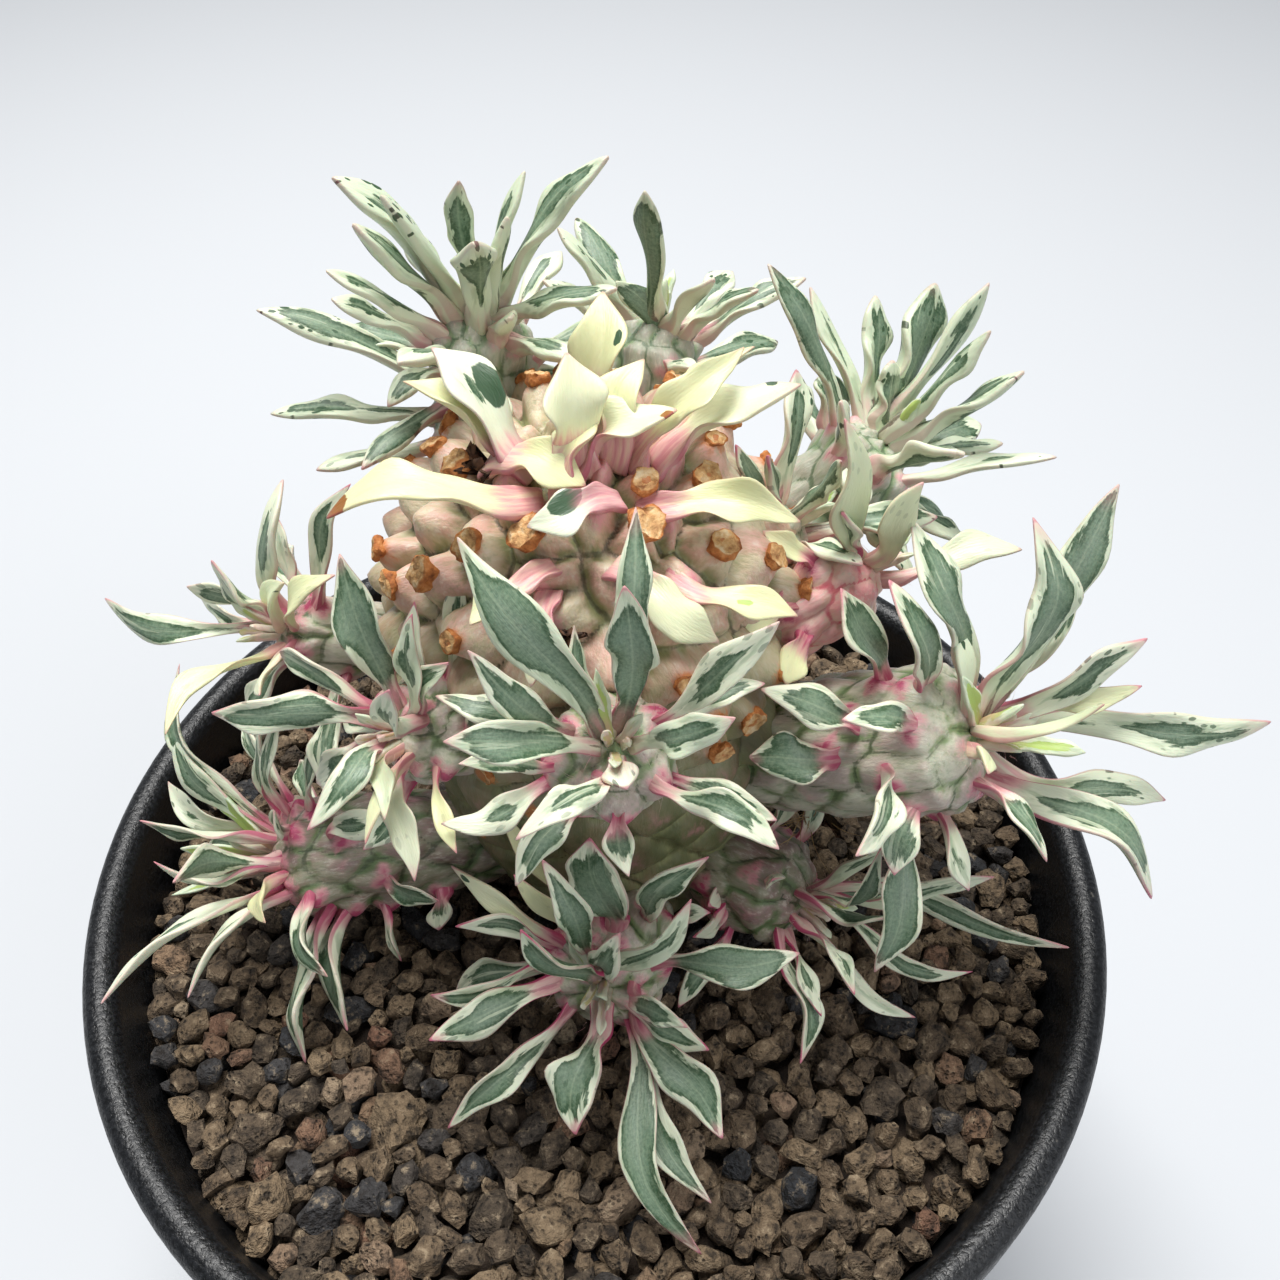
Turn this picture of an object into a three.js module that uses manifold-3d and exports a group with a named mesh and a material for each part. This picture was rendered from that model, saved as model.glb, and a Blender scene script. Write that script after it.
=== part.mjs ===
// A variegated branching euphorbia in a round black nursery pot filled with pumice.
// Millimetres, +Z up. The origin is the middle of the pot's flat underside.
import * as THREE from "three";
import { mergeVertices } from "three/addons/utils/BufferGeometryUtils.js";
import Module from "manifold-3d";

const wasm = await Module();
wasm.setup();

// Driving dimensions
const RIM_RADIUS = 60;
const RIM_WIDTH = 4;
const POT_HEIGHT = 95;
const FOOT_RADIUS = 42;
const WALL = 2;
const FLOOR = 3;
const POT_SIDES = 40;
const DRAIN_HOLES = 6;
const DRAIN_RADIUS = 4;
const DRAIN_RING = 24;
const DRAIN_SIDES = 14;
const ROLL_HEIGHT = 8.5;
const ROUNDING = 1.4;

const SOIL_TOP = 86.5;
const PEBBLE = 4;
const PEBBLE_HEIGHT = 1.1;
const PEBBLE_SHIFT = 0.6;
const PLUG_TOP = SOIL_TOP + 3;
const GAP = 0.3;

const TRUNK_BURIED_TO = 66;
const TRUNK_TOP = 149;
const TRUNK_COLUMNS = 36;
const TRUNK_RINGS = 15;
const TRUNK_KNOB = 0.9;
const BULB = { centre: [0, 12, 125], radius: 22, height: 24 };
const KNOBS_FROM = SOIL_TOP + 1.5;

const STEM_COLUMNS = 10;
const STEM_RING_STEP = 3;
const STEM_KNOB = 0.5;
const LEAF_SINK = 0.55;
const TRUNK_LEAF_SINK = 1.5;
const KEEL = 1.1;

// The leaves that fill the open sides of a head: size, bend, tilt from the stem's axis and the
// least angle to any other leaf
const FILL = { length: 14, width: 2.8, bend: 20, leastTilt: 35, mostTilt: 85, apart: 32, aboveSoil: 3 };

// Half outline of a leaf: how far along it, and how wide there as a share of its full width
const LEAF_OUTLINE = [[0, 0.4], [0.36, 0.66], [0.68, 1], [0.88, 0.62]];

// The trunk's centre line and radius from its buried foot to its crown: x, y, z, radius
const TRUNK_PROFILE = [
  [2, 7, TRUNK_BURIED_TO, 9],
  [2, 7, SOIL_TOP, 13],
  [1, 10, 100, 17.5],
  [0.5, 11.5, 112, 21],
  [0, 12, 124, 22],
  [0, 12, 134, 20.5],
  [0, 12.5, 142, 16],
  [0, 13, 147, 9.5],
  [0, 13, TRUNK_TOP, 4],
];

// Leaves grow in the kinds that the colours need: g green with a thin pale margin, m green with a
// broad pale margin, c cream, p pink, y young, s speckled. Each row of a head is a kind, then the
// millimetres below the crown, the heading (0 away from the front, 90 to the right), the rise over
// the horizontal, the length, the width and the bend, outwards where positive.
const HEADS = {
  head_front: {
    crown: [3, -15.5, 136], root: [1, -3, 115], radius: 5.6, fill: 8, leaves: [
      ["g", 0, 298, 54, 22, 5, 15], ["g", 0, 10, 60, 20, 3, 0], ["g", 0, 140, 85, 18, 4, 0],
      ["m", 4, 96, 55, 19, 3.2, 20], ["m", 0, 125, 48, 15, 3, 0], ["g", 0, 240, 36, 16, 3.6, 0],
      ["m", 5, 234, 36, 14, 2, 0], ["m", 2, 208, 24, 14, 2.6, 60], ["m", 7, 212, -5, 12, 3, 20],
      ["m", 5, 172, -5, 9, 2.4, 20], ["m", 3, 130, 8, 15, 3, 20], ["m", 7, 120, 8, 14, 2.8, 30],
      ["y", 0, 320, 75, 6, 1.4, 0], ["c", 0, 165, 40, 5, 2.4, 20], ["g", 3, 245, 60, 18, 2.8, 10],
      ["g", 3, 255, 82, 13, 2.2, 0],
    ],
  },
  head_low_front: {
    crown: [1, -21, 101], root: [4, -2, 91.5], radius: 6.5, fill: 4, leaves: [
      ["y", 0, 300, 60, 7, 1.5, 0], ["g", 0, 255, 62, 15, 4, 10], ["s", 3, 290, 32, 17, 2.2, 0],
      ["c", 4, 308, 50, 19, 2.4, -20], ["g", 2, 285, 72, 17, 4, 20], ["c", 4, 272, 60, 15, 2.6, 20],
      ["g", 4, 330, 80, 16, 6, 20], ["g", 9, 100, 62, 17, 3.6, 20], ["c", 0, 88, 62, 17, 3.6, 20],
      ["g", 3, 98, 22, 18, 4.4, 20], ["p", 9, 88, 25, 8, 2, 0], ["m", 1, 125, -5, 11, 3, 15],
      ["g", 3, 150, -4, 18, 4.8, 20], ["g", 4, 157, -17, 23, 3.4, 0], ["g", 4, 163, -15, 27, 4, 0],
      ["m", 1, 190, -8, 14, 5.4, 20], ["m", 3, 225, -14, 20, 3.2, 10], ["m", 3, 240, 6, 17, 4, 0],
      ["p", 4, 250, 10, 16, 2.2, 0], ["p", 4, 262, 33, 15, 2.2, 0],
    ],
  },
  head_left: {
    crown: [-18.5, -8, 128], root: [-8, 3, 119], radius: 5.4, fill: 4, leaves: [
      ["g", 1, 325, 60, 17, 4.6, 10], ["m", 4, 35, 68, 14, 2.2, 0], ["m", 0, 60, 78, 14, 2.2, 0],
      ["m", 2, 262, 15, 18, 4, 50], ["m", 4, 250, -15, 11, 3.6, 60], ["m", 2, 216, 17, 14, 3.4, 30],
      ["c", 1, 194, 8, 12, 2.2, 30], ["c", 0, 182, 10, 10, 2.2, 30], ["c", 1, 175, -14, 13, 3.2, 15],
      ["c", 3, 165, 0, 12, 1.6, 20], ["m", 1, 100, 66, 10, 2.6, 10], ["p", 5, 320, 80, 12, 1.8, 10],
      ["m", 3, 293, 12, 15, 2.6, 60],
    ],
  },
  head_low_left: {
    crown: [-38, -3, 98], root: [-8, 4, 94], radius: 6.7, fill: 3, leaves: [
      ["m", 1, 318, 38, 24, 2.6, 0], ["m", 1, 303, 36, 19, 2.8, 0], ["m", 1, 290, 14, 16, 3, 0],
      ["y", 0, 305, 36, 13, 2.4, 0], ["m", 1, 264, 22, 16, 2.4, 0], ["y", 0, 268, 8, 11, 2.2, 0],
      ["y", 0, 250, 2, 12, 1.6, 0], ["p", 2, 252, 18, 15, 2.2, 0], ["m", 2, 223, 8, 24, 2.8, 0],
      ["m", 3, 212, 8, 18, 2.2, 0], ["c", 2, 184, 25, 10, 2.6, 0], ["m", 4, 163, 8, 14, 3, 10],
      ["m", 6, 186, -24, 20, 3.4, 10], ["m", 9, 180, -19, 17, 3.2, 10], ["m", 12, 165, -24, 10, 2, 10],
      ["g", 3, 215, 76, 9, 3.2, 0], ["m", 6, 100, 42, 13, 3.2, 20], ["g", 10, 125, 15, 12, 2.8, 10],
      ["m", 19, 178, -10, 8, 3.8, 0], ["m", 3, 328, 22, 17, 2.6, 0], ["m", 2, 338, 58, 15, 2.2, 0],
      ["m", 3, 355, 68, 16, 2, 0], ["m", 5, 25, 75, 15, 1.8, 0],
    ],
  },
  head_far_left: {
    crown: [-33.5, 7.5, 126], root: [-16, 13, 118], radius: 4, fill: 5, leaves: [
      ["m", 1, 275, 9, 20, 2.8, 30], ["m", 1, 268, 30, 11, 2.6, 10], ["m", 2, 288, 5, 12, 2, 0],
      ["g", 1, 10, 66, 16, 2.8, 40], ["m", 3, 60, 68, 17, 2.2, 0], ["m", 3, 330, 52, 11, 2, 0],
      ["c", 1, 212, 8, 17, 2.6, 20], ["c", 2, 190, 20, 11, 2.4, 30], ["s", 0, 130, 75, 8, 2.6, 20],
      ["c", 1, 108, 55, 12, 2.6, 20],
    ],
  },
  head_back_left: {
    crown: [-12, 32, 150], root: [-12, 24, 120], radius: 5.5, fill: 9, leaves: [
      ["m", 0, 262, 55, 19, 3, 0], ["m", 0, 235, 64, 17, 2.4, 0], ["m", 1, 240, 55, 17, 3, 0],
      ["m", 3, 240, 46, 17, 2.2, 0], ["m", 4, 254, 36, 14, 2.4, 0], ["g", 6, 280, 16, 12, 3.2, 10],
      ["m", 9, 271, 28, 22, 3, 10], ["m", 12, 263, 8, 20, 2.6, 0], ["p", 6, 218, 10, 11, 2.2, 50],
      ["p", 9, 218, 0, 15, 2.2, 20], ["m", 0, 175, 78, 17, 2.4, 0], ["m", 0, 125, 70, 13, 2.2, 0],
      ["m", 1, 168, 62, 15, 4, 10], ["m", 0, 60, 70, 15, 2.2, 0], ["m", 0, 88, 53, 21, 3.2, 0],
      ["c", 3, 145, 50, 8, 2.6, 10], ["m", 1, 112, 28, 16, 2.8, 10], ["p", 3, 130, 15, 12, 2.4, 20],
      ["p", 14, 250, 0, 16, 2, 0],
    ],
  },
  head_back: {
    crown: [7, 38, 145], root: [4, 26, 118], radius: 5.2, fill: 10, leaves: [
      ["g", 0, 200, 80, 17, 3.2, 0], ["g", 5, 288, 66, 14, 4, 30], ["m", 1, 135, 54, 12, 2.6, 0],
      ["m", 2, 112, 42, 13, 2.2, 0], ["m", 3, 78, 28, 16, 2.6, 0], ["p", 5, 155, 34, 10, 2, 0],
      ["m", 1, 290, 48, 14, 2.4, 0], ["m", 3, 278, 38, 12, 2.2, 0],
    ],
  },
  head_back_right: {
    crown: [32, 25, 138], root: [13, 17, 120], radius: 5.4, fill: 3, leaves: [
      ["g", 3, 292, 62, 22, 3.2, 0], ["m", 1, 325, 48, 17, 2.2, 0], ["g", 5, 352, 50, 9, 4.6, 20],
      ["m", 1, 5, 50, 15, 3.4, 0], ["m", 0, 30, 46, 17, 5, 0], ["m", 0, 20, 66, 8, 3, 0],
      ["m", 0, 57, 48, 19, 2.8, 0], ["m", 0, 85, 56, 16, 2.6, 0], ["m", 0, 95, 42, 16, 3, -20],
      ["m", 2, 72, 14, 12, 4, 20], ["m", 1, 95, 15, 12, 2.4, 0], ["c", 4, 102, 22, 19, 1.8, 10],
      ["y", 0, 110, 65, 7, 1.6, 0],
    ],
  },
  head_inner_right: {
    crown: [21.5, 14, 136.5], root: [11.5, 12, 128], radius: 3.6, fill: 2, leaves: [
      ["g", 0, 130, 65, 11, 2.4, 20], ["p", 1, 225, 72, 11, 1.8, 0], ["p", 2, 285, 66, 10, 1.8, 0],
      ["g", 3, 255, 55, 11, 1.8, 0],
    ],
  },
  head_pink: {
    crown: [28.5, 7.5, 136], root: [15, 6, 124], radius: 4.4, fill: 0, leaves: [
      ["c", 0, 290, 76, 17, 3.4, 10], ["p", 0, 125, 74, 13, 3.8, 0], ["p", 1, 235, 72, 9, 2.6, 0],
      ["c", 1, 90, 19, 15, 3.4, 10], ["c", 4, 268, 44, 9, 2.6, 10], ["c", 7, 235, 5, 10, 4.2, 20],
      ["c", 8, 200, -8, 8, 3.2, 20],
    ],
  },
  head_right: {
    crown: [39, -6, 125.5], root: [12, 5, 108], radius: 7.5, fill: 4, leaves: [
      ["g", 9, 302, 56, 13.5, 4.2, 0], ["g", 4, 280, 80, 17, 4.2, 0], ["g", 1, 325, 59, 21, 5, 0],
      ["s", 0, 315, 62, 12, 2.2, 0], ["m", 0, 24, 66, 21, 5.2, 0], ["g", 0, 44, 52, 26, 4.6, 0],
      ["g", 2, 52, 38, 18, 3.6, 0], ["m", 1, 85, 33, 18, 3.8, 0], ["c", 1, 97, 27, 16, 2.4, 0],
      ["c", 0, 118, 40, 14, 2.4, 0], ["y", 0, 120, 60, 7, 1.8, 0], ["y", 0, 280, 70, 8, 2.2, 0],
      ["m", 1, 88, 2, 30, 4, 0], ["m", 1, 101, -11, 20, 4, 0], ["g", 2, 146, -3, 12, 3.4, 20],
      ["m", 3, 120, -17, 23, 5, 10], ["g", 6, 198, -12, 11, 4, 10], ["g", 7, 195, -40, 20, 4.6, 10],
      ["m", 3, 250, 32, 12, 3.2, 0], ["g", 9, 268, 28, 14, 4, 10], ["g", 11, 255, 10, 12, 5, 10],
      ["c", 1, 175, 35, 8, 2.6, 20], ["y", 0, 115, 22, 10, 2.2, 0],
    ],
  },
  head_low_right: {
    crown: [24, -9.5, 99], root: [7, 3, 95], radius: 6, fill: 2, leaves: [
      ["g", 0, 118, 62, 16, 2.8, 0], ["m", 0, 90, 45, 13, 2, 0], ["m", 1, 97, 16, 21, 2.4, 0],
      ["m", 1, 128, 25, 13, 2.4, 0], ["m", 1, 109, 7, 29, 2.8, 0], ["m", 1, 150, 12, 13, 2.2, 0],
      ["m", 2, 173, -15, 16, 3, 0], ["m", 2, 160, -8, 12, 2.2, 0], ["m", 2, 116, -2, 21, 2, 0],
      ["m", 2, 130, -10, 18, 2, 0], ["y", 0, 135, 35, 7, 1.6, 0],
    ],
  },
};

// The trunk's own cream leaves: kind, x and y of the base on the crown, then as above
const TRUNK_LEAVES = [
  ["c", 2, 16, 20, 60, 13, 7, 0], ["c", 0, 7, 335, 70, 13, 8, 20], ["c", 1, 5, 77, 52, 11, 4.6, 20],
  ["c", 5, 9, 68, 44, 15, 4.2, 0], ["c", 8, 9, 80, 32, 15, 4.6, 0], ["p", -6, 11, 285, 42, 14, 3.2, 0],
  ["g", -4, 10, 300, 50, 15, 5, 0], ["c", -5, 7, 140, 25, 9, 4, 50], ["c", -8, 4, 258, 12, 18, 5, 20],
  ["g", 2, 1, 245, 25, 7, 3.4, 20], ["c", 9, 3, 100, 12, 13, 4.6, 25], ["c", -4, -1, 235, 15, 8, 3.4, 20],
  ["c", -3, -4, 190, 10, 7, 3.6, 20], ["c", 4, -1, 135, 10, 10, 5.4, 40], ["c", 11, -1, 110, 8, 11, 3.6, 20],
];

const GOLDEN_ANGLE = 137.5;

const vector = (values) => new THREE.Vector3(...values);
const radians = THREE.MathUtils.degToRad;

// A closed mesh: rings of points, each counter-clockwise about the way the rings run. Every other
// four-sided cell is split the other way, so that raised points stand up as four-sided pyramids.
function loft(rings, start, end) {
  const count = rings[0].length;
  const points = [start, ...rings.flat(), end];
  const last = points.length - 1;
  const at = (ring, side) => 1 + ring * count + (side % count);
  const faces = [];
  for (let side = 0; side < count; side++) {
    faces.push(0, at(0, side + 1), at(0, side));
    faces.push(last, at(rings.length - 1, side), at(rings.length - 1, side + 1));
    for (let ring = 0; ring < rings.length - 1; ring++) {
      const cell = [at(ring, side), at(ring, side + 1), at(ring + 1, side + 1), at(ring + 1, side)];
      const [a, b, c, d] = (ring + side) % 2 === 0 ? [...cell.slice(1), cell[0]] : cell;
      faces.push(a, b, c, a, c, d);
    }
  }
  const geometry = new THREE.BufferGeometry();
  geometry.setAttribute("position", new THREE.Float32BufferAttribute(points.flatMap((p) => p.toArray()), 3));
  geometry.setIndex(faces);
  return geometry;
}

function solid(geometry) {
  const bare = geometry.clone();
  bare.deleteAttribute("normal");
  bare.deleteAttribute("uv");
  const merged = mergeVertices(bare, 1e-4);
  const vertProperties = Float32Array.from(merged.attributes.position.array);
  const triVerts = Uint32Array.from(merged.index.array);
  return new wasm.Manifold(new wasm.Mesh({ numProp: 3, vertProperties, triVerts }));
}

function geometryOf(manifold) {
  const mesh = manifold.getMesh();
  const geometry = new THREE.BufferGeometry();
  geometry.setAttribute("position", new THREE.BufferAttribute(Float32Array.from(mesh.vertProperties), 3));
  geometry.setIndex(new THREE.BufferAttribute(Uint32Array.from(mesh.triVerts), 1));
  return geometry;
}

// Cutting can leave loose crumbs beside the body that matters
function largest(manifold) {
  const volume = (piece) => piece.volume();
  return manifold.decompose().sort((a, b) => volume(b) - volume(a))[0];
}

// The same small spread each time, between -1 and 1
function spread(seed) {
  const value = Math.sin(seed * 12.9898) * 43758.5453;
  return 2 * (value - Math.floor(value)) - 1;
}

// A body round in section whose surface stands up in staggered rhombic tubercles
function tubercled(stations, columns, knob, grown = 0) {
  const rings = stations.map(({ centre, side, up, radius, relief }, ring) =>
    Array.from({ length: columns }, (_, column) => {
      const angle = (2 * Math.PI * column) / columns;
      const raised = (ring + column) % 2 === 0 ? 1 : -1;
      const reach = radius + grown + raised * knob * relief;
      return centre.clone().addScaledVector(side, reach * Math.cos(angle)).addScaledVector(up, reach * Math.sin(angle));
    }),
  );
  const first = stations[0];
  const last = stations.at(-1);
  const along = last.centre.clone().sub(stations.at(-2).centre).normalize();
  const start = first.centre.clone().addScaledVector(along, -grown);
  const end = last.centre.clone().addScaledVector(along, grown + last.radius * 0.4);
  return solid(loft(rings, start, end));
}

// The trunk
const RIGHT = new THREE.Vector3(1, 0, 0);
const AWAY = new THREE.Vector3(0, 1, 0);

function trunkAt(height) {
  const upper = TRUNK_PROFILE.findIndex((point) => point[2] >= height);
  const index = Math.max(upper, 1);
  const [x0, y0, z0, r0] = TRUNK_PROFILE[index - 1];
  const [x1, y1, z1, r1] = TRUNK_PROFILE[index];
  const share = (height - z0) / (z1 - z0);
  const blend = (a, b) => a + (b - a) * share;
  return { centre: new THREE.Vector3(blend(x0, x1), blend(y0, y1), height), radius: blend(r0, r1) };
}

function trunkStations() {
  const smooth = [TRUNK_BURIED_TO, SOIL_TOP, KNOBS_FROM];
  const bulb = Array.from({ length: TRUNK_RINGS }, (_, ring) => {
    const share = (ring + 1) / TRUNK_RINGS;
    return THREE.MathUtils.lerp(KNOBS_FROM, TRUNK_TOP, Math.sin((share * Math.PI) / 2));
  });
  return [...smooth, ...bulb].map((height, index) => ({
    ...trunkAt(height), side: RIGHT, up: AWAY, relief: index < smooth.length ? 0 : 1,
  }));
}

// One leaf: an arched blade, flat on top and keeled below, that ends in a point
function leaf(base, direction, topSide, length, width, bend) {
  const arc = radians(bend) + 1e-4;
  const forward = (share) => (Math.sin(arc * (share - 0.5)) + Math.sin(arc / 2)) / arc;
  const outward = (share) => (Math.cos(arc / 2) - Math.cos(arc * (share - 0.5))) / arc;
  const across = topSide.clone().cross(direction);
  const middle = (share) => base.clone()
    .addScaledVector(direction, length * forward(share))
    .addScaledVector(topSide, -length * outward(share));
  const rings = LEAF_OUTLINE.map(([share, part]) => {
    const turn = arc * (share - 0.5);
    const up = topSide.clone().multiplyScalar(Math.cos(turn)).addScaledVector(direction, Math.sin(turn));
    const half = (width * part) / 2;
    const edge = middle(share).addScaledVector(up, KEEL * 0.4);
    return [
      edge.clone().addScaledVector(across, half),
      edge.clone().addScaledVector(across, -half),
      middle(share).addScaledVector(up, -KEEL * 0.6),
    ];
  });
  const start = middle(0).addScaledVector(direction, -0.2);
  return solid(loft(rings, start, middle(1)));
}

function towards(heading, rise) {
  const level = Math.cos(radians(rise));
  const bearing = radians(heading);
  return new THREE.Vector3(level * Math.sin(bearing), level * Math.cos(bearing), Math.sin(radians(rise)));
}

function stemRadius(radius, below, length) {
  const crown = Math.min(1, 0.32 + 0.17 * below);
  const root = Math.min(1, 0.72 + (0.5 * (length - below)) / length);
  return radius * crown * root;
}

// Leaves that fill the sides of a head that its own rows leave open, turned by the golden angle
function fillLeaves({ crown, root, radius, fill, leaves }) {
  const axis = vector(crown).sub(vector(root)).normalize();
  const side = AWAY.clone().cross(axis).normalize();
  const up = axis.clone().cross(side);
  const taken = leaves.map(([, , heading, rise]) => towards(heading, rise));
  const rows = [];
  for (let turn = 0; rows.length < fill && turn < 60; turn++) {
    const around = radians(turn * GOLDEN_ANGLE);
    const share = (turn * 0.13) % 1;
    const tilt = radians(THREE.MathUtils.lerp(FILL.leastTilt, FILL.mostTilt, share));
    const direction = axis.clone().multiplyScalar(Math.cos(tilt))
      .addScaledVector(side, Math.sin(tilt) * Math.cos(around))
      .addScaledVector(up, Math.sin(tilt) * Math.sin(around));
    const below = 2 + 6 * share;
    const size = 1 + 0.15 * spread(turn + radius);
    const tipHeight = crown[2] - below * axis.z + (FILL.length + 2) * direction.z;
    const open = taken.every((other) => other.angleTo(direction) > radians(FILL.apart));
    if (open && tipHeight > SOIL_TOP + FILL.aboveSoil) {
      taken.push(direction);
      const heading = THREE.MathUtils.radToDeg(Math.atan2(direction.x, direction.y));
      const rise = THREE.MathUtils.radToDeg(Math.asin(direction.z));
      rows.push(["m", below, heading, rise, FILL.length * size, FILL.width * size, FILL.bend]);
    }
  }
  return rows;
}

// A head: a tubercled stem and the leaves that spring from its tubercles
function head(plan) {
  const crown = vector(plan.crown);
  const root = vector(plan.root);
  const length = crown.distanceTo(root);
  const axis = crown.clone().sub(root).normalize();
  const side = AWAY.clone().cross(axis).normalize();
  const up = axis.clone().cross(side);
  const rings = Math.round(length / STEM_RING_STEP);
  const stations = Array.from({ length: rings + 1 }, (_, ring) => {
    const below = length * (1 - ring / rings);
    const centre = crown.clone().addScaledVector(axis, -below);
    return { centre, side, up, radius: stemRadius(plan.radius, below, length), relief: ring < rings ? 1 : 0 };
  });
  const pieces = [tubercled(stations, STEM_COLUMNS, STEM_KNOB)];
  for (const [, below, heading, rise, long, wide, bend] of [...plan.leaves, ...fillLeaves(plan)]) {
    const direction = towards(heading, rise);
    const outward = direction.clone().addScaledVector(axis, -direction.dot(axis)).normalize();
    const topSide = axis.clone().addScaledVector(direction, -axis.dot(direction)).normalize();
    const reach = stemRadius(plan.radius, below, length) * LEAF_SINK;
    const base = crown.clone().addScaledVector(axis, -below - 0.5).addScaledVector(outward, reach);
    pieces.push(leaf(base, direction, topSide, long, wide, bend));
  }
  return wasm.Manifold.union(pieces);
}

function trunk() {
  const pieces = [tubercled(trunkStations(), TRUNK_COLUMNS, TRUNK_KNOB)];
  const middle = vector(BULB.centre);
  for (const [, x, y, heading, rise, long, wide, bend] of TRUNK_LEAVES) {
    const reach = Math.hypot(x - middle.x, y - middle.y) / BULB.radius;
    const surface = middle.z + BULB.height * Math.sqrt(1 - reach * reach);
    const base = new THREE.Vector3(x, y, surface - TRUNK_LEAF_SINK);
    const outward = base.clone().sub(middle).normalize();
    const direction = towards(heading, rise);
    const topSide = outward.addScaledVector(direction, -outward.dot(direction)).normalize();
    pieces.push(leaf(base, direction, topSide, long + TRUNK_LEAF_SINK, wide, bend));
  }
  return wasm.Manifold.union(pieces);
}

const trunkSeat = () => tubercled(trunkStations(), TRUNK_COLUMNS, TRUNK_KNOB, GAP + 0.1);

// The pot: one turned wall with a rolled rim, a flat floor and a ring of drain holes
function lathe(profile, sides) {
  const geometry = new THREE.LatheGeometry(profile.map(([r, z]) => new THREE.Vector2(r, z)), sides);
  geometry.rotateX(Math.PI / 2);
  return solid(geometry);
}

const INNER_RIM = RIM_RADIUS - RIM_WIDTH;
const INNER_FOOT = FOOT_RADIUS - WALL;
const STRAIGHT_TO = POT_HEIGHT - RIM_WIDTH;
const innerRadius = (height) => INNER_FOOT + ((INNER_RIM - INNER_FOOT) * height) / STRAIGHT_TO;

function pot() {
  const rollBottom = POT_HEIGHT - ROLL_HEIGHT;
  const profile = [
    [0, 0], [FOOT_RADIUS - ROUNDING, 0], [FOOT_RADIUS, ROUNDING],
    [innerRadius(rollBottom) + WALL, rollBottom - ROUNDING],
    [RIM_RADIUS - ROUNDING / 2, rollBottom], [RIM_RADIUS, rollBottom + ROUNDING],
    [RIM_RADIUS, POT_HEIGHT - 2 * ROUNDING], [RIM_RADIUS - ROUNDING / 3, POT_HEIGHT - ROUNDING],
    [RIM_RADIUS - ROUNDING, POT_HEIGHT], [INNER_RIM + ROUNDING, POT_HEIGHT],
    [INNER_RIM, POT_HEIGHT - ROUNDING], [INNER_RIM, STRAIGHT_TO], [innerRadius(FLOOR), FLOOR], [0, FLOOR],
  ];
  const past = 1;
  const hole = lathe([
    [0, -past], [DRAIN_RADIUS, -past], [DRAIN_RADIUS, FLOOR + past], [0, FLOOR + past],
  ], DRAIN_SIDES);
  const holes = Array.from({ length: DRAIN_HOLES }, (_, index) => {
    const angle = (2 * Math.PI * index) / DRAIN_HOLES;
    return hole.translate([DRAIN_RING * Math.cos(angle), DRAIN_RING * Math.sin(angle), 0]);
  });
  return lathe(profile, POT_SIDES).subtract(wasm.Manifold.union(holes));
}

// The soil: a filling that meets the pot's wall and floor, with a top of packed pumice grains
function soil() {
  const plug = lathe([
    [0, FLOOR + GAP], [innerRadius(FLOOR) - GAP, FLOOR + GAP],
    [innerRadius(PLUG_TOP) - GAP, PLUG_TOP], [0, PLUG_TOP],
  ], POT_SIDES);
  const cells = Math.ceil((2 * RIM_RADIUS) / PEBBLE);
  const start = (-cells * PEBBLE) / 2;
  const block = new THREE.BoxGeometry(cells * PEBBLE, cells * PEBBLE, SOIL_TOP, cells, cells, 1);
  block.translate(0, 0, SOIL_TOP / 2);
  const places = block.attributes.position;
  for (let index = 0; index < places.count; index++) {
    if (places.getZ(index) > 0) {
      const column = Math.round((places.getX(index) - start) / PEBBLE);
      const row = Math.round((places.getY(index) - start) / PEBBLE);
      const seed = column * 57 + row * 131;
      const raised = (column + row) % 3 === 0 ? 1.2 : -0.5;
      places.setZ(index, SOIL_TOP + PEBBLE_HEIGHT * (raised + 0.5 * spread(seed)));
      places.setX(index, places.getX(index) + PEBBLE_SHIFT * spread(seed + 1));
      places.setY(index, places.getY(index) + PEBBLE_SHIFT * spread(seed + 2));
    }
  }
  const foot = trunkAt(TRUNK_BURIED_TO);
  const neck = trunkAt(SOIL_TOP);
  const hole = lathe([
    [0, TRUNK_BURIED_TO - GAP], [foot.radius + GAP, TRUNK_BURIED_TO - GAP],
    [neck.radius + GAP, SOIL_TOP], [neck.radius + 4 * GAP, PLUG_TOP], [0, PLUG_TOP],
  ], TRUNK_COLUMNS).translate([neck.centre.x, neck.centre.y, 0]);
  return largest(plug.intersect(solid(block)).subtract(hole));
}

const COLOURS = {
  pot: [0x15171a, 0.55], soil: [0x6b5a4a, 0.95], trunk: [0xd8cfae, 0.6], head: [0x8fae93, 0.55],
};

function mesh(name, manifold, look) {
  const [color, roughness] = COLOURS[look];
  const piece = new THREE.Mesh(geometryOf(manifold), new THREE.MeshStandardMaterial({ color, roughness, metalness: 0 }));
  piece.name = name;
  return piece;
}

const plant = new THREE.Group();
const seat = trunkSeat();
plant.add(mesh("pot", pot(), "pot"));
plant.add(mesh("soil", soil(), "soil"));
plant.add(mesh("trunk", trunk(), "trunk"));
for (const [name, plan] of Object.entries(HEADS)) {
  plant.add(mesh(name, largest(head(plan).subtract(seat)), "head"));
}

export default plant;
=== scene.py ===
# A variegated, many-headed euphorbia in a black nursery pot of pumice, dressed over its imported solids.
# Shapes are made in millimetres and scaled to metres when they are done.
import random
from math import acos, asin, atan2, cos, degrees, exp, floor, hypot, pi, radians, sin, sqrt
from typing import NamedTuple

import bmesh
import bpy
from mathutils import Matrix, Vector, noise
from mathutils.kdtree import KDTree


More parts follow.
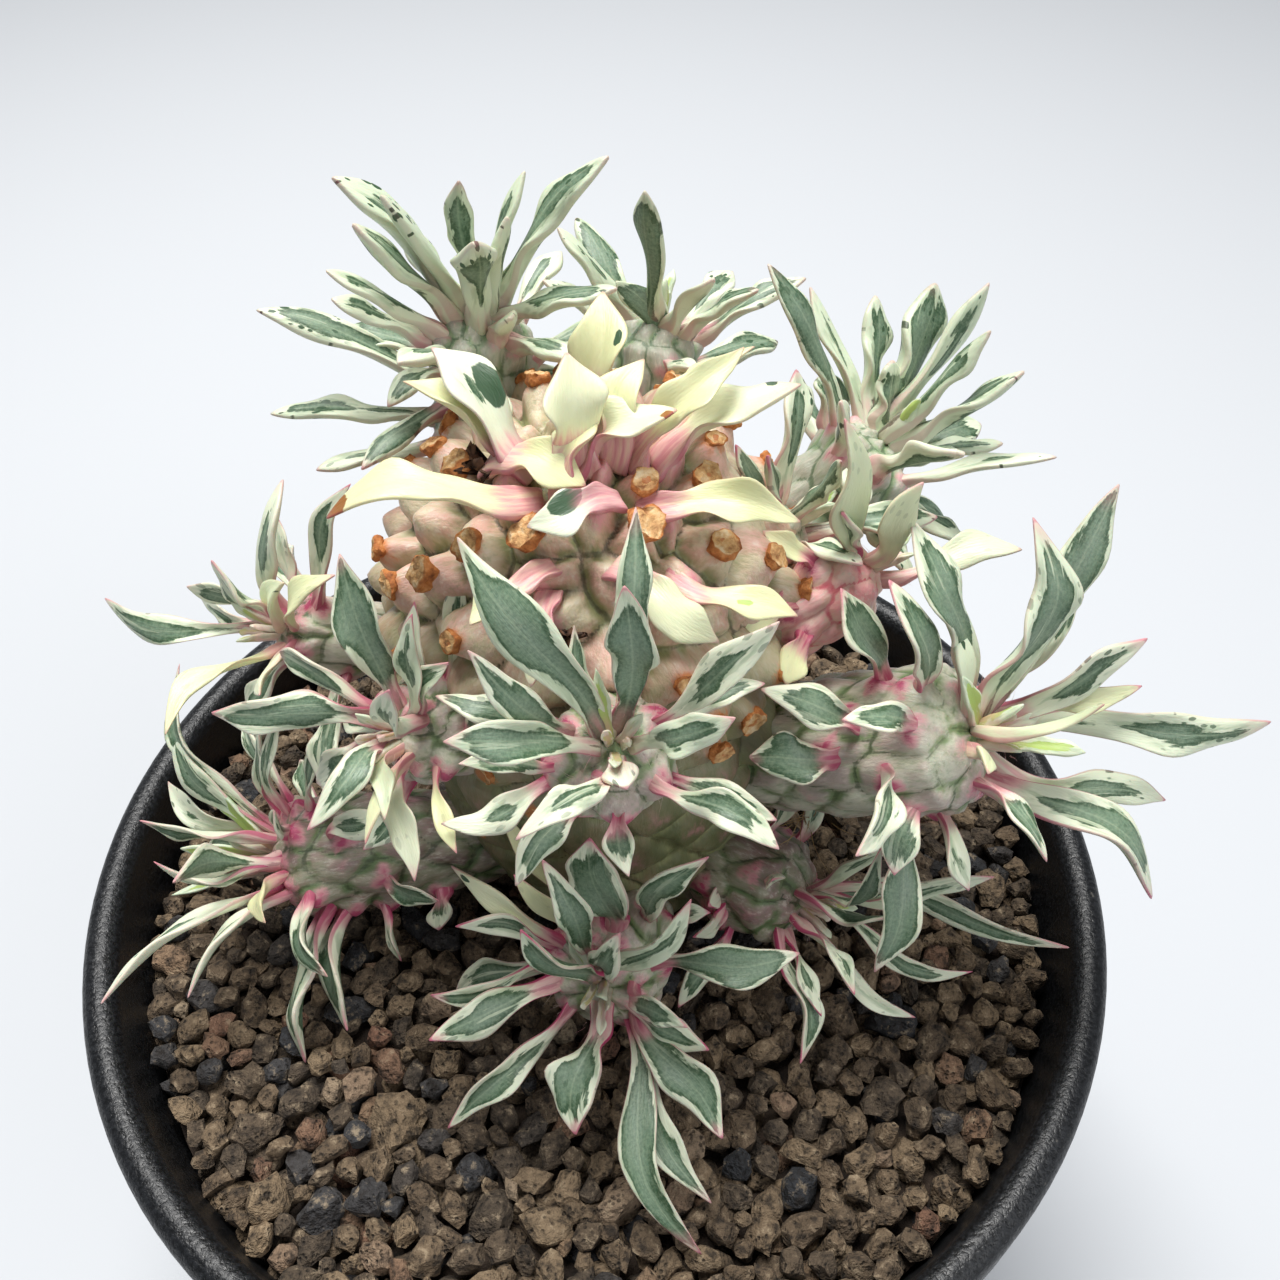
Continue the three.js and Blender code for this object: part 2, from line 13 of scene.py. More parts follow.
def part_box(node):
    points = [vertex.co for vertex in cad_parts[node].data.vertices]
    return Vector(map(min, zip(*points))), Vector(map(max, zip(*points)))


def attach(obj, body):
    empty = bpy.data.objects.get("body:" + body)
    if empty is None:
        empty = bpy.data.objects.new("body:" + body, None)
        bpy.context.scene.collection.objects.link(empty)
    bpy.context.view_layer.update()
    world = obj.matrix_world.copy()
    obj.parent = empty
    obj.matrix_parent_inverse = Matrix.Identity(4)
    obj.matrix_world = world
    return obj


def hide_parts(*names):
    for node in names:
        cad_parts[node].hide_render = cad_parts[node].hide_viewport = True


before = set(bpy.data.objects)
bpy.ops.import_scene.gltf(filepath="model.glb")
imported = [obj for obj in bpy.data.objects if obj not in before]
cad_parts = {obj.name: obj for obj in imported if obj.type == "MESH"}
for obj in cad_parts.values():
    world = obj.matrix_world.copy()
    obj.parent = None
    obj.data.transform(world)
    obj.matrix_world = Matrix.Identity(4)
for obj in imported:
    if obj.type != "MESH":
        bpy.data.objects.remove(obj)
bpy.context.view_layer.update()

# Driving sizes, in millimetres unless a name says otherwise
MM = 0.001
POT_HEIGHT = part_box("pot")[1].z / MM
RIM_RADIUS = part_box("pot")[1].x / MM
RIM_WIDTH = 4
FOOT_RADIUS = 42
WALL = 2
FLOOR = 3
ROLL_HEIGHT = 8.5
ROUNDING = 1.4
POT_STEPS = 128
DRAIN_HOLES = 6
DRAIN_RADIUS = 4
DRAIN_RING = 24
DRAIN_STEPS = 32
GAP = 0.3
# The angles in degrees above which an edge is shown sharp
POT_SHARP = 40
GRAIN_SHARP = 32
SCAR_SHARP = 45

SOIL_TOP = 86.5
BED_TOP = 83.5
BED_STEPS = 64
# The layers of grains: how deep their middles are, how close they may lie, and how many of which radius
GRAIN_LAYERS = {
    "upper_grains": (0.4, 0.86, ((8, 2.8, 3.9), (170, 1.7, 2.4), (2400, 0.95, 1.7))),
    "lower_grains": (2.6, 0.88, ((1300, 1.2, 2.3),)),
}
LARGE_GRAIN = 2.7
GRAIN_FACETS = 9
TRIES = 70
TRUNK_CLEARING = 12

TRUNK_FOOT = 76
FOOT_X = 2
FOOT_Y = 7
BULB_X = 0
BULB_Y = 12
BULB_MIDDLE = 125
BULB_RADIUS = 22
BULB_ABOVE = 24
BULB_BELOW = 47.7
TRUNK_TOP = BULB_MIDDLE + BULB_ABOVE
TRUNK_ROWS = 210
TRUNK_COLUMNS = 300
CROWN_ROWS = 0.42
STEM_ROW = 0.36
STEM_COLUMNS = 110

# Tubercles: how far they stand out, how wide the creases between them are, and how much wider than long they
# are. On a stem: how far they stand from one another at least, and the skin that each takes.
TRUNK_KNOB = 2.7
STEM_KNOB = 0.62
TRUNK_CREASE = 1.25
STEM_CREASE = 0.8
TRUNK_FLATTEN = 1.35
STEM_FLATTEN = 0.6
STEM_APART = 2.8
STEM_CELL = 15
# The trunk's tubercles: the skin that each takes at the top and below, and over what depth it grows. They
# are low on the ground, and stand up fully RIPE_OVER higher than RIPE_FROM.
TRUNK_CELLS = (26, 50)
CELLS_GROW = 36
RIPE_FROM = 112
RIPE_OVER = 22
TRUNK_REACH = 3
STEM_REACH = 2.2
RAYS = 3
SCAR_SIZE = 1.25
SCAR_SUNK = 0.75

# Where leaves start: as a share of the stem's radius, or in millimetres inside the trunk
LEAF_SINK = 0.55
YOUNG_SINK = 0.3
STEM_LEAF_TIP = 1.1
TRUNK_LEAF_SINK = 1.5
TRUNK_LEAF_TALL = 0.95
TRUNK_LEAF_TIP = 0.8
BURIED = 2.4
# Leaves that are added where a head is open: their sizes, tilt off the stem, and room to the others
FILL_LENGTH = 14
FILL_WIDTH = 3
FILL_BEND = 20
FILL_TILT = (35, 85)
FILL_APART = 27
FILL_OVER_SOIL = 3
FILL_TRIES = 60
CROWN_LEAVES = 4
GOLDEN_ANGLE = 137.5

# The view of the photograph, whose frame is 1280 by 1280
CAMERA_PLACE = (5.1, -79.1, 219.2)
CAMERA_DOWN = 47.5
CAMERA_LENS = 33.75
SENSOR = 36

# The leafy heads: the places of the crown and the root, the stem's radius, how many leaves are added, and
# the leaves that can be told apart. Each is a kind, then the millimetres below the crown, the heading (0 is
# away from the front, 90 to the right), the rise over the horizontal, the length, the width and the bend,
# which is outwards where positive. Six more are the foot's place and the way that the upper face looks.
HEADS = {
    "head_front": ((3, -15.5, 136), (1, -3, 115), 5.6, 8, """
        g 0 298 54 22 5 15; g 0 10 60 20 3 0; g 0 140 85 18 4 0; m 4 96 55 19 3.2 20; m 0 125 48 15 3 0;
        g 0 240 36 16 3.6 0; m 5 234 36 14 2 0; m 2 208 24 14 2.6 60; m 7 212 -5 12 3 20;
        m 5 172 -5 9 2.4 20; m 3 130 8 15 3 20; m 7 120 8 14 2.8 30; y 0 320 75 8 1.4 0;
        n 0 170 30 5.5 2.8 45; g 3 245 60 18 2.8 10; g 3 255 82 13 2.2 0
    """),
    "head_low_front": ((1, -21, 101), (4, -2, 91.5), 6.5, 4, """
        y 0 300 60 7 1.5 0; g 0 255 62 15 4 10; s 3 290 32 17 2.2 0; c 4 308 50 19 1.8 -20;
        g 2 285 72 17 3.4 20; c 4 272 60 15 2 20; g 4 330 80 16 6 20; g 9 100 62 17 3.6 20;
        m 0 88 62 17 2.8 20; g 3 98 22 18 4.4 20; p 9 88 25 8 2 0; m 1 125 -5 11 3 15; g 3 150 -4 18 4.8 20;
        g 4 157 -17 23 3.4 0; g 4 163 -15 27 4 0; m 1 190 -8 14 5.4 20; m 3 225 -14 20 3.2 10;
        m 3 240 6 17 4 0; p 4 250 10 16 2.2 0; p 4 262 33 15 2.2 0
    """),
    "head_left": ((-18.5, -8, 128), (-8, 3, 119), 5.4, 4, """
        g 1 325 60 17 4.6 10; m 4 35 68 14 2.2 0; m 0 60 78 14 2.2 0; m 2 262 15 18 4 50;
        m 4 250 -15 11 3.6 60; m 2 216 17 14 3.4 30; c 1 194 8 12 2.2 30; c 0 182 10 10 2.2 30;
        c 1 175 -14 13 3.2 15; c 3 165 0 12 1.6 20; m 1 100 66 10 2.6 10; p 5 320 80 12 1.8 10;
        m 3 293 12 15 2.6 60
    """),
    "head_low_left": ((-38, -3, 98), (-8, 4, 94), 6.7, 3, """
        m 1 318 38 24 2.6 0; n 1 303 36 19 3.4 0; n 1 290 14 16 3.2 0; y 0 305 36 13 2.4 0;
        m 1 264 22 16 2.4 0; y 0 268 8 11 2.2 0; y 0 250 2 12 1.6 0; p 2 252 18 15 2.2 0; n 2 223 8 24 3 0;
        n 3 212 8 18 2.6 0; c 2 184 25 10 2.6 0; m 4 163 8 14 3 10; m 6 186 -24 20 4.2 10;
        m 9 180 -19 17 4 10; m 12 165 -24 10 2 10; g 3 215 76 9 3.2 0; m 6 100 42 13 3.2 20;
        g 10 125 15 12 2.8 10; m 19 178 -10 8 3.8 0; m 3 328 22 17 2.6 0; m 2 338 58 15 2.2 0;
        m 3 355 68 16 2 0; m 5 25 75 15 1.8 0
    """),
    "head_far_left": ((-33.5, 7.5, 126), (-16, 13, 118), 4, 5, """
        m 1 275 9 20 2.8 30; m 1 268 30 11 2.6 10; m 2 288 5 12 2 0; n 1 10 66 16 3.6 40;
        p 3 60 68 17 2.6 10; m 3 330 52 11 2 0; c 1 212 8 17 2.6 20; c 2 190 20 11 2.4 30;
        s 0 130 75 8 2.6 20; c 1 108 55 12 2.6 20
    """),
    "head_back_left": ((-12, 32, 150), (-12, 24, 120), 5.5, 14, """
        n 0 262 55 19 3.4 0; n 0 235 64 17 2.8 0; m 1 240 55 17 3 0; m 3 240 46 17 2.2 0;
        m 4 254 36 14 2.4 0; g 6 280 16 12 3.2 10; m 9 271 28 22 3 10; m 12 263 8 20 2.6 0;
        p 6 218 10 11 2.2 50; p 9 218 0 15 2.2 20; m 0 175 78 17 2.4 0; n 0 125 70 13 2.6 0;
        m 1 168 62 15 4 10; m 0 60 70 15 2.2 0; m 0 88 53 21 3.2 0; c 3 145 50 8 2.6 10;
        m 1 112 28 16 2.8 10; p 3 130 15 12 2.4 20; p 14 250 0 16 2 0; m 13 172 -30 8 3.2 10;
        m 15 200 -10 9 3 20; g 17 225 0 9 3.6 20; m 10 190 5 8 2.8 30
    """),
    "head_back": ((7, 38, 145), (4, 26, 118), 5.2, 15, """
        g 0 200 80 17 3.2 0; d 7 272 66 15 3.6 0 8.6 35.5 137 0 -1 0.7; m 1 135 54 12 2.6 0;
        m 2 112 42 13 2.2 0; m 3 78 28 16 2.6 0; p 5 155 34 10 2 0; m 1 290 48 14 2.4 0; m 3 278 38 12 2.2 0
    """),
    "head_back_right": ((32, 25, 138), (13, 17, 120), 5.4, 9, """
        g 3 292 62 22 3.2 0; m 1 325 48 17 2.2 0; g 5 352 50 9 4.6 20; m 1 5 50 15 3.4 0; m 0 30 46 17 5 0;
        m 0 20 66 8 3 0; m 0 57 48 19 2.8 0; m 0 85 56 16 2.6 0; m 0 95 42 16 3 -20; m 2 72 14 12 4 20;
        m 1 95 15 12 2.4 0; n 4 102 22 19 2 10; y 0 110 65 7 1.6 0
    """),
    "head_inner_right": ((21.5, 14, 136.5), (11.5, 12, 128), 3.6, 5, """
        g 0 130 65 11 2.4 20; p 1 225 72 11 1.8 0; p 2 285 66 10 1.8 0; g 3 255 55 11 1.8 0
    """),
    "head_pink": ((28.5, 7.5, 136), (15, 6, 124), 4.4, 0, """
        c 0 290 76 17 3.8 10 27.4 7.5 136.4 0.25 -1 0.3; c 0 125 72 13 3.8 0 27.5 7.1 136.4 -0.3 -1 0.2;
        p 1 235 72 9 2.6 0; c 1 90 19 15 3.4 10; c 4 268 44 9 2.6 10; c 7 235 5 10 4.2 20;
        c 8 200 -8 8 3.2 20
    """),
    "head_right": ((39, -6, 125.5), (12, 5, 108), 7.5, 4, """
        g 8 302 62 15.5 5 0; g 6 290 76 17.5 4.8 0; g 1 325 59 21 5 0; s 0 315 62 12 2.2 0;
        m 0 24 66 21 5.2 0; g 0 44 52 26 4.6 0; g 2 52 38 18 3.6 0; n 1 85 33 18 3.8 0; c 1 97 27 16 2.4 0;
        c 0 118 40 14 2.4 0; y 0 120 60 7 1.8 0; y 0 280 70 8 2.2 0; n 1 88 2 30 4.2 0; n 1 101 -11 20 4 0;
        g 2 146 -3 12 3.4 20; m 3 120 -17 23 5.2 30; g 6 198 -12 11 4 10; g 7 195 -40 20 4.6 10;
        m 3 250 32 12 3.2 0; g 9 268 28 14 4 10; g 11 255 10 12 5 10; c 1 175 35 8 2.6 20;
        y 0 115 22 10 2.2 0
    """),
    "head_low_right": ((24, -9.5, 99), (7, 3, 95), 6, 4, """
        g 0 118 62 16 2.8 0; m 0 90 45 13 2 0; m 1 97 16 21 2.4 0; m 1 128 25 13 2.4 0; m 1 109 7 29 2.8 0;
        m 1 150 12 13 2.2 0; p 9 205 10 8 2.2 20; p 12 172 25 7 2.2 20; m 7 150 45 8 2.6 20;
        m 2 173 -15 16 3 0; m 2 160 -8 12 2.2 0; m 2 116 -2 21 2 0; m 2 130 -10 18 2 0; y 0 135 35 7 1.6 0
    """),
}

# The trunk's own cream leaves: kind, x and y of the base on the crown, then as above, then its marks: a
# colour, how far up the leaf, how far to the side in millimetres, and half the mark's length and width
TRUNK_LEAVES = [
    ["w", 0.3, 15.5, 12, 60, 11, 5.8, 0, ("green", 0.66, 2.2, 1.3, 0.4)],
    ["w", -0.8, 8, 350, 72, 10, 6.6, 20], ["w", 1, 7, 77, 44, 9, 5, 20, ("brown", 0.93, 0.8, 0.8, 0.9)],
    ["w", 5, 9, 64, 46, 13.5, 4.2, 0], ["w", 8, 9, 76, 36, 13.5, 5, 0, ("green", 0.86, -1.7, 0.4, 0.7)],
    ["w", -7, 9.5, 287, 40, 11.5, 3.4, 0],
    ["b", -5.6, 8.4, 303, 48, 13, 5.2, 0, ("green", 0.62, 1.3, 2.4, 1.3)], ["w", -7, 7.5, 118, 24, 8, 5, 60],
    ["t", -5.5, 4, 260, 10, 16.5, 4.6, 20, ("brown", 1.0, 0, 2.2, 3)],
    ["b", 1.5, 3, 240, 22, 6.5, 4.2, 30, ("green", 0.62, 1.1, 1.7, 1.3)],
    ["w", 6.5, 3, 96, 12, 12, 4.6, 20], ["w", -4, -2, 225, 12, 7, 3.6, 40],
    ["w", -3, -4, 190, 2, 6.5, 3.6, 20], ["w", 4, -2, 128, 2, 9, 4.2, 40],
    ["w", 9, -1, 108, 4, 9.5, 3.6, 15, ("fresh", 0.62, 0.2, 0.9, 0.5)],
    ["w", 3, 9, 30, 62, 9, 4.4, 30], ["w", -1, 5, 20, 48, 7, 4, 50], ["w", 7, 12, 58, 40, 12, 3.4, 0],
]

# The kinds: g green with a thin pale margin, m with a broad one, n with a very broad one, c cream, p small
# and rosy, y young, s speckled, b half green, d dark, w the trunk's cream leaves and t its blunt one. For
# each: how far its sides fold up, how much its edge waves, its thickness as a share of its width, the width
# of its pale margin, how pink and how fresh it is, the width of its neck, how speckled it is, how blunt its
# tip is, and how far it bows to the side as a share of its length
LEAF_TRAITS = ("fold", "wave", "thick", "margin", "pink", "fresh", "neck", "speckle", "blunt", "bow")
LEAF_KINDS = {
    "g": (0.30, 0.19, 0.18, 0.45, 0.8, 0.0, 0.27, 0.1, 1.8, 0),
    "m": (0.32, 0.26, 0.25, 0.75, 0.9, 0.0, 0.27, 0.5, 1.8, 0),
    "n": (0.35, 0.20, 0.26, 1.25, 0.8, 0.0, 0.30, 0.8, 1.8, 0),
    "c": (0.40, 0.20, 0.24, 9.0, 0.8, 0.0, 0.30, 0.2, 1.6, 0),
    "p": (0.50, 0.22, 0.32, 0.7, 1.5, 0.0, 0.30, 0.0, 1.8, 0),
    "y": (0.50, 0.04, 0.40, 0.4, 0.0, 1.0, 0.60, 0.0, 1.8, 0),
    "s": (0.35, 0.10, 0.34, 9.0, 0.4, 0.3, 0.35, 1.0, 1.8, 0),
    "b": (0.40, 0.14, 0.20, 1.7, 0.6, 0.0, 0.45, 0.0, 1.6, 0),
    "d": (0.20, 0.05, 0.22, 0.1, 0.2, 0.0, 0.30, 0.0, 2.0, 0.17),
    "w": (0.50, 0.18, 0.18, 9.0, 0.6, 0.0, 0.45, 0.0, 1.5, 0),
    "t": (0.45, 0.14, 0.20, 9.0, 0.6, 0.0, 0.55, 0.0, 4.0, 0),
}
LEAF_LAYERS = ("leaf_place", "leaf_blade", "leaf_tint", "leaf_mark")
LEAF_COLUMNS = 6
LEAF_ROWS = 14
# How much broader a grown leaf is than its row says, and how far along a leaf is widest
BROADER = 0.45
WIDEST = (0.5, 0.66)
# How strongly the leaves of the heads and of the trunk turn their upper faces, and which way
HEAD_LIGHT = Vector((0, -0.72, 0.84))
TRUNK_LIGHT = Vector((0, 0, 0.7))
# How much thicker the leaves of some heads are, and their blunter tips, broader necks and denser dots
FLESHY = {"head_back_left": 1.85, "head_back": 1.85, "head_back_right": 1.7, "head_inner_right": 1.4}
FLESHY_BLUNT = 3.1
FLESHY_NECK = 0.42
FLESHY_SPECKLE = 0.5
# How rosy the leaves of a head are, above or below the rest
ROSINESS = {
    "head_low_front": 1.7, "head_low_right": 1.7, "head_right": 1.3, "head_low_left": 1.2, "head_left": 1.2,
    "head_back_left": 0.45, "head_back": 0.45, "head_back_right": 0.5,
}
# The stems that don't have the plain stem_skin, and for each skin its own colour, its patches, its crease
# lines, which are dark partly as painted shade in the creases, and the green beside them
SKINS = {
    "head_pink": "rosy_stem_skin", "head_back_left": "pale_stem_skin", "head_back": "pale_stem_skin",
    "head_back_right": "pale_stem_skin", "head_inner_right": "pale_stem_skin",
    # painted shade: the two low heads take a darker copy of the stem skin
    "head_low_left": "low_shaded_stem_skin", "head_low_right": "low_shaded_stem_skin",
}
SKIN_COLOURS = {
    "stem_skin": ((206, 206, 184), (190, 174, 164), (62, 80, 46), (126, 148, 100)),
    # painted shade: a darker copy of stem_skin for the low heads, with rosier patches
    "low_shaded_stem_skin": ((166, 162, 140), (150, 124, 120), (50, 62, 36), (104, 126, 82)),
    "pale_stem_skin": ((198, 202, 184), (180, 178, 162), (84, 108, 76), (142, 164, 124)),
    "rosy_stem_skin": ((254, 216, 206), (248, 168, 172), (220, 78, 108), (238, 206, 186)),
    "trunk_skin": ((214, 201, 170), (213, 172, 155), (70, 64, 40), (146, 149, 104)),
}
# The heights in metres over which the trunk turns greener, and then to its shaded skin, a painted shade
# under the heads
GREENER = (0.141, 0.127)
SHADED = (0.136, 0.114)
MARKS = ("green", "brown", "fresh")
# The hairs round each leaf's foot
HAIRS = 7
HAIR_WIDTH = 0.045
# How close points of one blade are merged, as at its tip
MERGE = 0.03
FIBRE_WIDTH = 0.14
# Dry fibres left by old leaves: a place, how many and how long
FIBRES = [((24, -5.5, 109.5), 16, 5), ((21, 1, 104), 10, 4), ((2, -7, 120), 8, 3), ((-17, 14, 140), 8, 3)]

# Corky scars that fallen leaves left on the trunk's tubercles: heading, height, size
SCARS = [
    (223, 143.4, 2.3), (234, 139.9, 2.6), (203, 145.3, 2.5), (153, 145.6, 2.6), (142, 147.2, 2.0),
    (113, 145.7, 2.4), (129, 142.6, 2.3), (113, 138.9, 2.0), (245, 136.6, 2.2), (216, 137.0, 1.8),
    (257, 145.6, 3.0), (150, 139.2, 1.7), (155, 134.6, 1.9), (125, 129.4, 1.5), (86, 145.6, 1.6),
    (231, 132.1, 2.2), (126, 118.2, 3.0), (147, 125.5, 1.9),
]
DRIED_FLOWERS = [(250, 146.6, 4.2), (157, 141.0, 2.2), (184, 139.6, 2.8)]
FLOWER_PARTS = 9

# The lights: place and size in metres, power and colour
LIGHTS = {
    "key": ((-0.1, 0.25, 0.9), 0.45, 10.6, (1, 0.99, 0.97)),
    "fill": ((0.5, -0.5, 0.6), 0.6, 2.6, (0.97, 0.98, 1)),
}
LIT_PLACE = Vector((0, 0, 0.12))


def blend(first, second, share):
    return first + (second - first) * share


def clamp(value):
    return max(0, min(1, value))


def eased(share):
    return share * share * (3 - 2 * share)


def spread(seed):
    """The same small spread each time, between -1 and 1"""
    value = sin(seed * 12.9898) * 43758.5453
    return 2 * (value - floor(value)) - 1


def towards(heading, rise):
    """A direction: heading 0 is away from the front and 90 to the right, rise is over the horizontal"""
    level = cos(radians(rise))
    bearing = radians(heading)
    return Vector((level * sin(bearing), level * cos(bearing), sin(radians(rise))))


def random_step(draw, reach):
    """A step of up to reach along each axis"""
    return Vector([draw.uniform(-reach, reach) for _ in range(3)])


def random_way(draw):
    return Vector([draw.gauss(0, 1) for _ in range(3)])


# Finishes
def srgb(red, green, blue):
    """A screen colour as the linear colour that a shader takes"""
    parts = [value / 255 for value in (red, green, blue)]
    return (*[((part + 0.055) / 1.055) ** 2.4 if part > 0.04 else part / 12.92 for part in parts], 1.0)


class Finish:
    """A procedural material, built node by node"""

    def __init__(self, name, **fixed):
        self.material = bpy.data.materials.new(name)
        self.material.use_nodes = True
        self.tree = self.material.node_tree
        self.shader = self.tree.nodes["Principled BSDF"]
        for socket, value in fixed.items():
            self.shader.inputs[socket.replace("_", " ")].default_value = value

    def node(self, kind, *inputs, **settings):
        made = self.tree.nodes.new("ShaderNode" + kind)
        for name, value in settings.items():
            setattr(made, name, value)
        for socket, value in inputs:
            self.feed(made.inputs[socket], value)
        return made

    def feed(self, socket, value):
        if isinstance(value, bpy.types.NodeSocket):
            self.tree.links.new(value, socket)
        else:
            socket.default_value = value

    def attribute(self, name, output="Vector"):
        return self.node("Attribute", attribute_name=name).outputs[output]

    def here(self):
        return self.node("TexCoord").outputs["Object"]

    def parts(self, vector):
        return self.node("SeparateXYZ", ("Vector", vector)).outputs

    def stretched(self, vector, scale):
        return self.node("Mapping", ("Vector", vector), ("Scale", scale)).outputs[0]

    def noise(self, place, scale, detail=3, rough=0.5):
        inputs = (("Vector", place), ("Scale", scale), ("Detail", detail), ("Roughness", rough))
        return self.node("TexNoise", *inputs).outputs[0]

    def cells(self, place, scale):
        return self.node("TexVoronoi", ("Vector", place), ("Scale", scale)).outputs

    def sum(self, operation, first, second):
        return self.node("Math", (0, first), (1, second), operation=operation).outputs[0]

    def plus(self, first, second):
        return self.sum("ADD", first, second)

    def less(self, first, second=0.5):
        return self.sum("SUBTRACT", first, second)

    def times(self, first, second):
        return self.sum("MULTIPLY", first, second)

    def step(self, value, low, high, least=0.0, most=1.0):
        ends = (("From Min", low), ("From Max", high), ("To Min", least), ("To Max", most))
        made = self.node("MapRange", ("Value", value), *ends, interpolation_type="SMOOTHSTEP")
        return made.outputs["Result"]

    def mix(self, share, first, second, mode="MIX"):
        made = self.node("Mix", (0, share), (6, first), (7, second), data_type="RGBA", blend_type=mode)
        return made.outputs[2]

    def over(self, base, colour, *step):
        """Lays a colour over another where a value steps up"""
        return self.mix(self.step(*step), base, colour)

    def ramp(self, value, stops):
        """Colours along a value, from the first stop's place to the last one's"""
        low, high = stops[0][0], stops[-1][0]
        share = self.node("MapRange", ("Value", value), ("From Min", low), ("From Max", high))
        made = self.node("ValToRGB", ("Fac", share.outputs["Result"]))
        marks = made.color_ramp.elements
        while len(marks) < len(stops):
            marks.new(0.5)
        for mark, (place, _) in zip(marks, stops):
            mark.position = (place - low) / (high - low)
        for mark, (_, colour) in zip(marks, stops):
            mark.color = colour
        return made.outputs["Color"]

    def bump(self, height, distance, strength=1.0):
        made = self.node("Bump", ("Height", height), ("Distance", distance), ("Strength", strength))
        self.tree.links.new(made.outputs["Normal"], self.shader.inputs["Normal"])

    def colour(self, value):
        self.feed(self.shader.inputs["Base Color"], value)
        return self.material


CREAM = srgb(228, 233, 207)
GREEN_WHITE = srgb(208, 222, 192)
WARM_CREAM = srgb(230, 230, 180)
SHADED_CREAM = srgb(202, 208, 156)
PALE_GREEN = srgb(176, 192, 160)
DARK_GREEN = srgb(62, 90, 62)
MID_GREEN = srgb(109, 133, 108)
MIST_GREEN = srgb(128, 148, 127)
FRESH_GREEN = srgb(176, 198, 112)
ROSE = srgb(184, 66, 108)
BLUSH = srgb(222, 150, 160)
BURNT = srgb(150, 98, 44)
PALE_SKIN = srgb(228, 222, 206)
# painted shade: the darker skin that the trunk turns to low down, under the heads
SHADED_SKIN = srgb(96, 102, 64)
CORK = srgb(196, 122, 62)


def leaf_finish():
    """Green inside with a feathered pale margin, rose at the foot and along the edge"""
    leaf = Finish("variegated_leaf", Roughness=0.42, Subsurface_Weight=0.1, Subsurface_Scale=0.0008)
    place = leaf.attribute("leaf_place")
    edge, margin, along = leaf.parts(leaf.attribute("leaf_blade"))
    pink, fresh, speckle = leaf.parts(leaf.attribute("leaf_tint"))
    ripe = leaf.attribute("leaf_foot", "Fac")
    marks = leaf.parts(leaf.attribute("leaf_mark"))
    long_grain = leaf.stretched(place, (1.6, 0.34, 1))
    drift = leaf.less(leaf.noise(leaf.stretched(place, (0.6, 0.16, 1)), 1, 1))
    feather = leaf.less(leaf.noise(long_grain, 1.3, 4, 0.6))
    ragged = leaf.plus(leaf.times(drift, 1.9), leaf.times(feather, 1.1))
    inward = leaf.less(leaf.plus(edge, ragged), margin)
    green = leaf.ramp(inward, [
        (-0.1, PALE_GREEN), (0.05, DARK_GREEN), (0.2, DARK_GREEN), (0.6, MID_GREEN), (2.0, MIST_GREEN),
    ])
    mottle = leaf.noise(place, 3.2, 4, 0.65)
    green = leaf.over(green, leaf.mix(0.5, green, PALE_GREEN), mottle, 0.4, 0.7, 0, 0.5)
    green = leaf.over(green, DARK_GREEN, mottle, 0.5, 0.3, 0, 0.3)
    across = leaf.node("Math", (0, leaf.parts(place)[0]), operation="ABSOLUTE").outputs[0]
    green = leaf.over(green, PALE_GREEN, across, 0.18, 0.02, 0, 0.28)
    green = leaf.mix(fresh, green, FRESH_GREEN)
    warm = leaf.over(WARM_CREAM, SHADED_CREAM, drift, -0.02, 0.14, 0, 0.4)
    warm = leaf.over(CREAM, warm, margin, 5, 8)
    veil = leaf.step(leaf.noise(leaf.stretched(place, (1.1, 0.25, 1)), 1.2, 2), 0.48, 0.6)
    veil = leaf.times(veil, leaf.step(inward, -0.9, -0.1, 0, 0.8))
    cream = leaf.mix(veil, leaf.mix(leaf.step(ripe, 0.7, 0.2, 0, 0.7), warm, GREEN_WHITE), PALE_GREEN)
    strand = leaf.step(leaf.noise(leaf.stretched(place, (1.3, 0.1, 1)), 1, 3), 0.6, 0.64, 0, 0.85)
    strand = leaf.times(strand, leaf.step(margin, 0.4, 0.8))
    green = leaf.mix(strand, green, leaf.mix(0.4, cream, PALE_GREEN))
    base = leaf.over(cream, green, inward, -0.09, 0.05)
    spot = leaf.cells(leaf.stretched(place, (1, 0.55, 1)), 1.1)
    reach = leaf.less(spot["Distance"], leaf.times(leaf.parts(spot["Color"])[0], 0.34))
    dots = leaf.step(leaf.plus(reach, leaf.times(feather, 0.5)), 0.03, -0.03)
    dots = leaf.times(leaf.times(dots, speckle), leaf.step(along, 0.4, 0.6))
    base = leaf.mix(dots, base, DARK_GREEN)
    for mark, colour in zip(marks, (DARK_GREEN, BURNT, FRESH_GREEN)):
        shown = leaf.step(leaf.plus(mark, leaf.times(feather, 0.5)), -0.05, 0.12)
        base = leaf.mix(shown, base, colour)
    vein = leaf.step(leaf.noise(leaf.stretched(place, (1.8, 0.2, 1)), 1, 3, 0.5), 0.35, 0.65, 0.6, 1.15)
    foot = leaf.times(leaf.times(leaf.step(leaf.parts(place)[1], 3.4, 0), vein), ripe)
    base = leaf.over(base, BLUSH, foot, 0.05, 0.6, 0, 0.75)
    base = leaf.over(base, ROSE, foot, 0.5, 1.1, 0, 0.85)
    rim = leaf.plus(leaf.step(along, 0.6, 0.1, 0.18, 0.7), leaf.step(along, 0.75, 1, 0, 0.5))
    rim = leaf.times(leaf.step(edge, 0.13, 0.01), rim)
    base = leaf.mix(leaf.times(rim, pink), base, ROSE)
    tip = leaf.times(leaf.step(leaf.plus(along, leaf.times(drift, 0.3)), 0.88, 1), 0.4)
    base = leaf.mix(leaf.times(tip, pink), base, BLUSH)
    leaf.bump(leaf.noise(long_grain, 3, 2), 0.00015, 0.4)
    return leaf.colour(base)


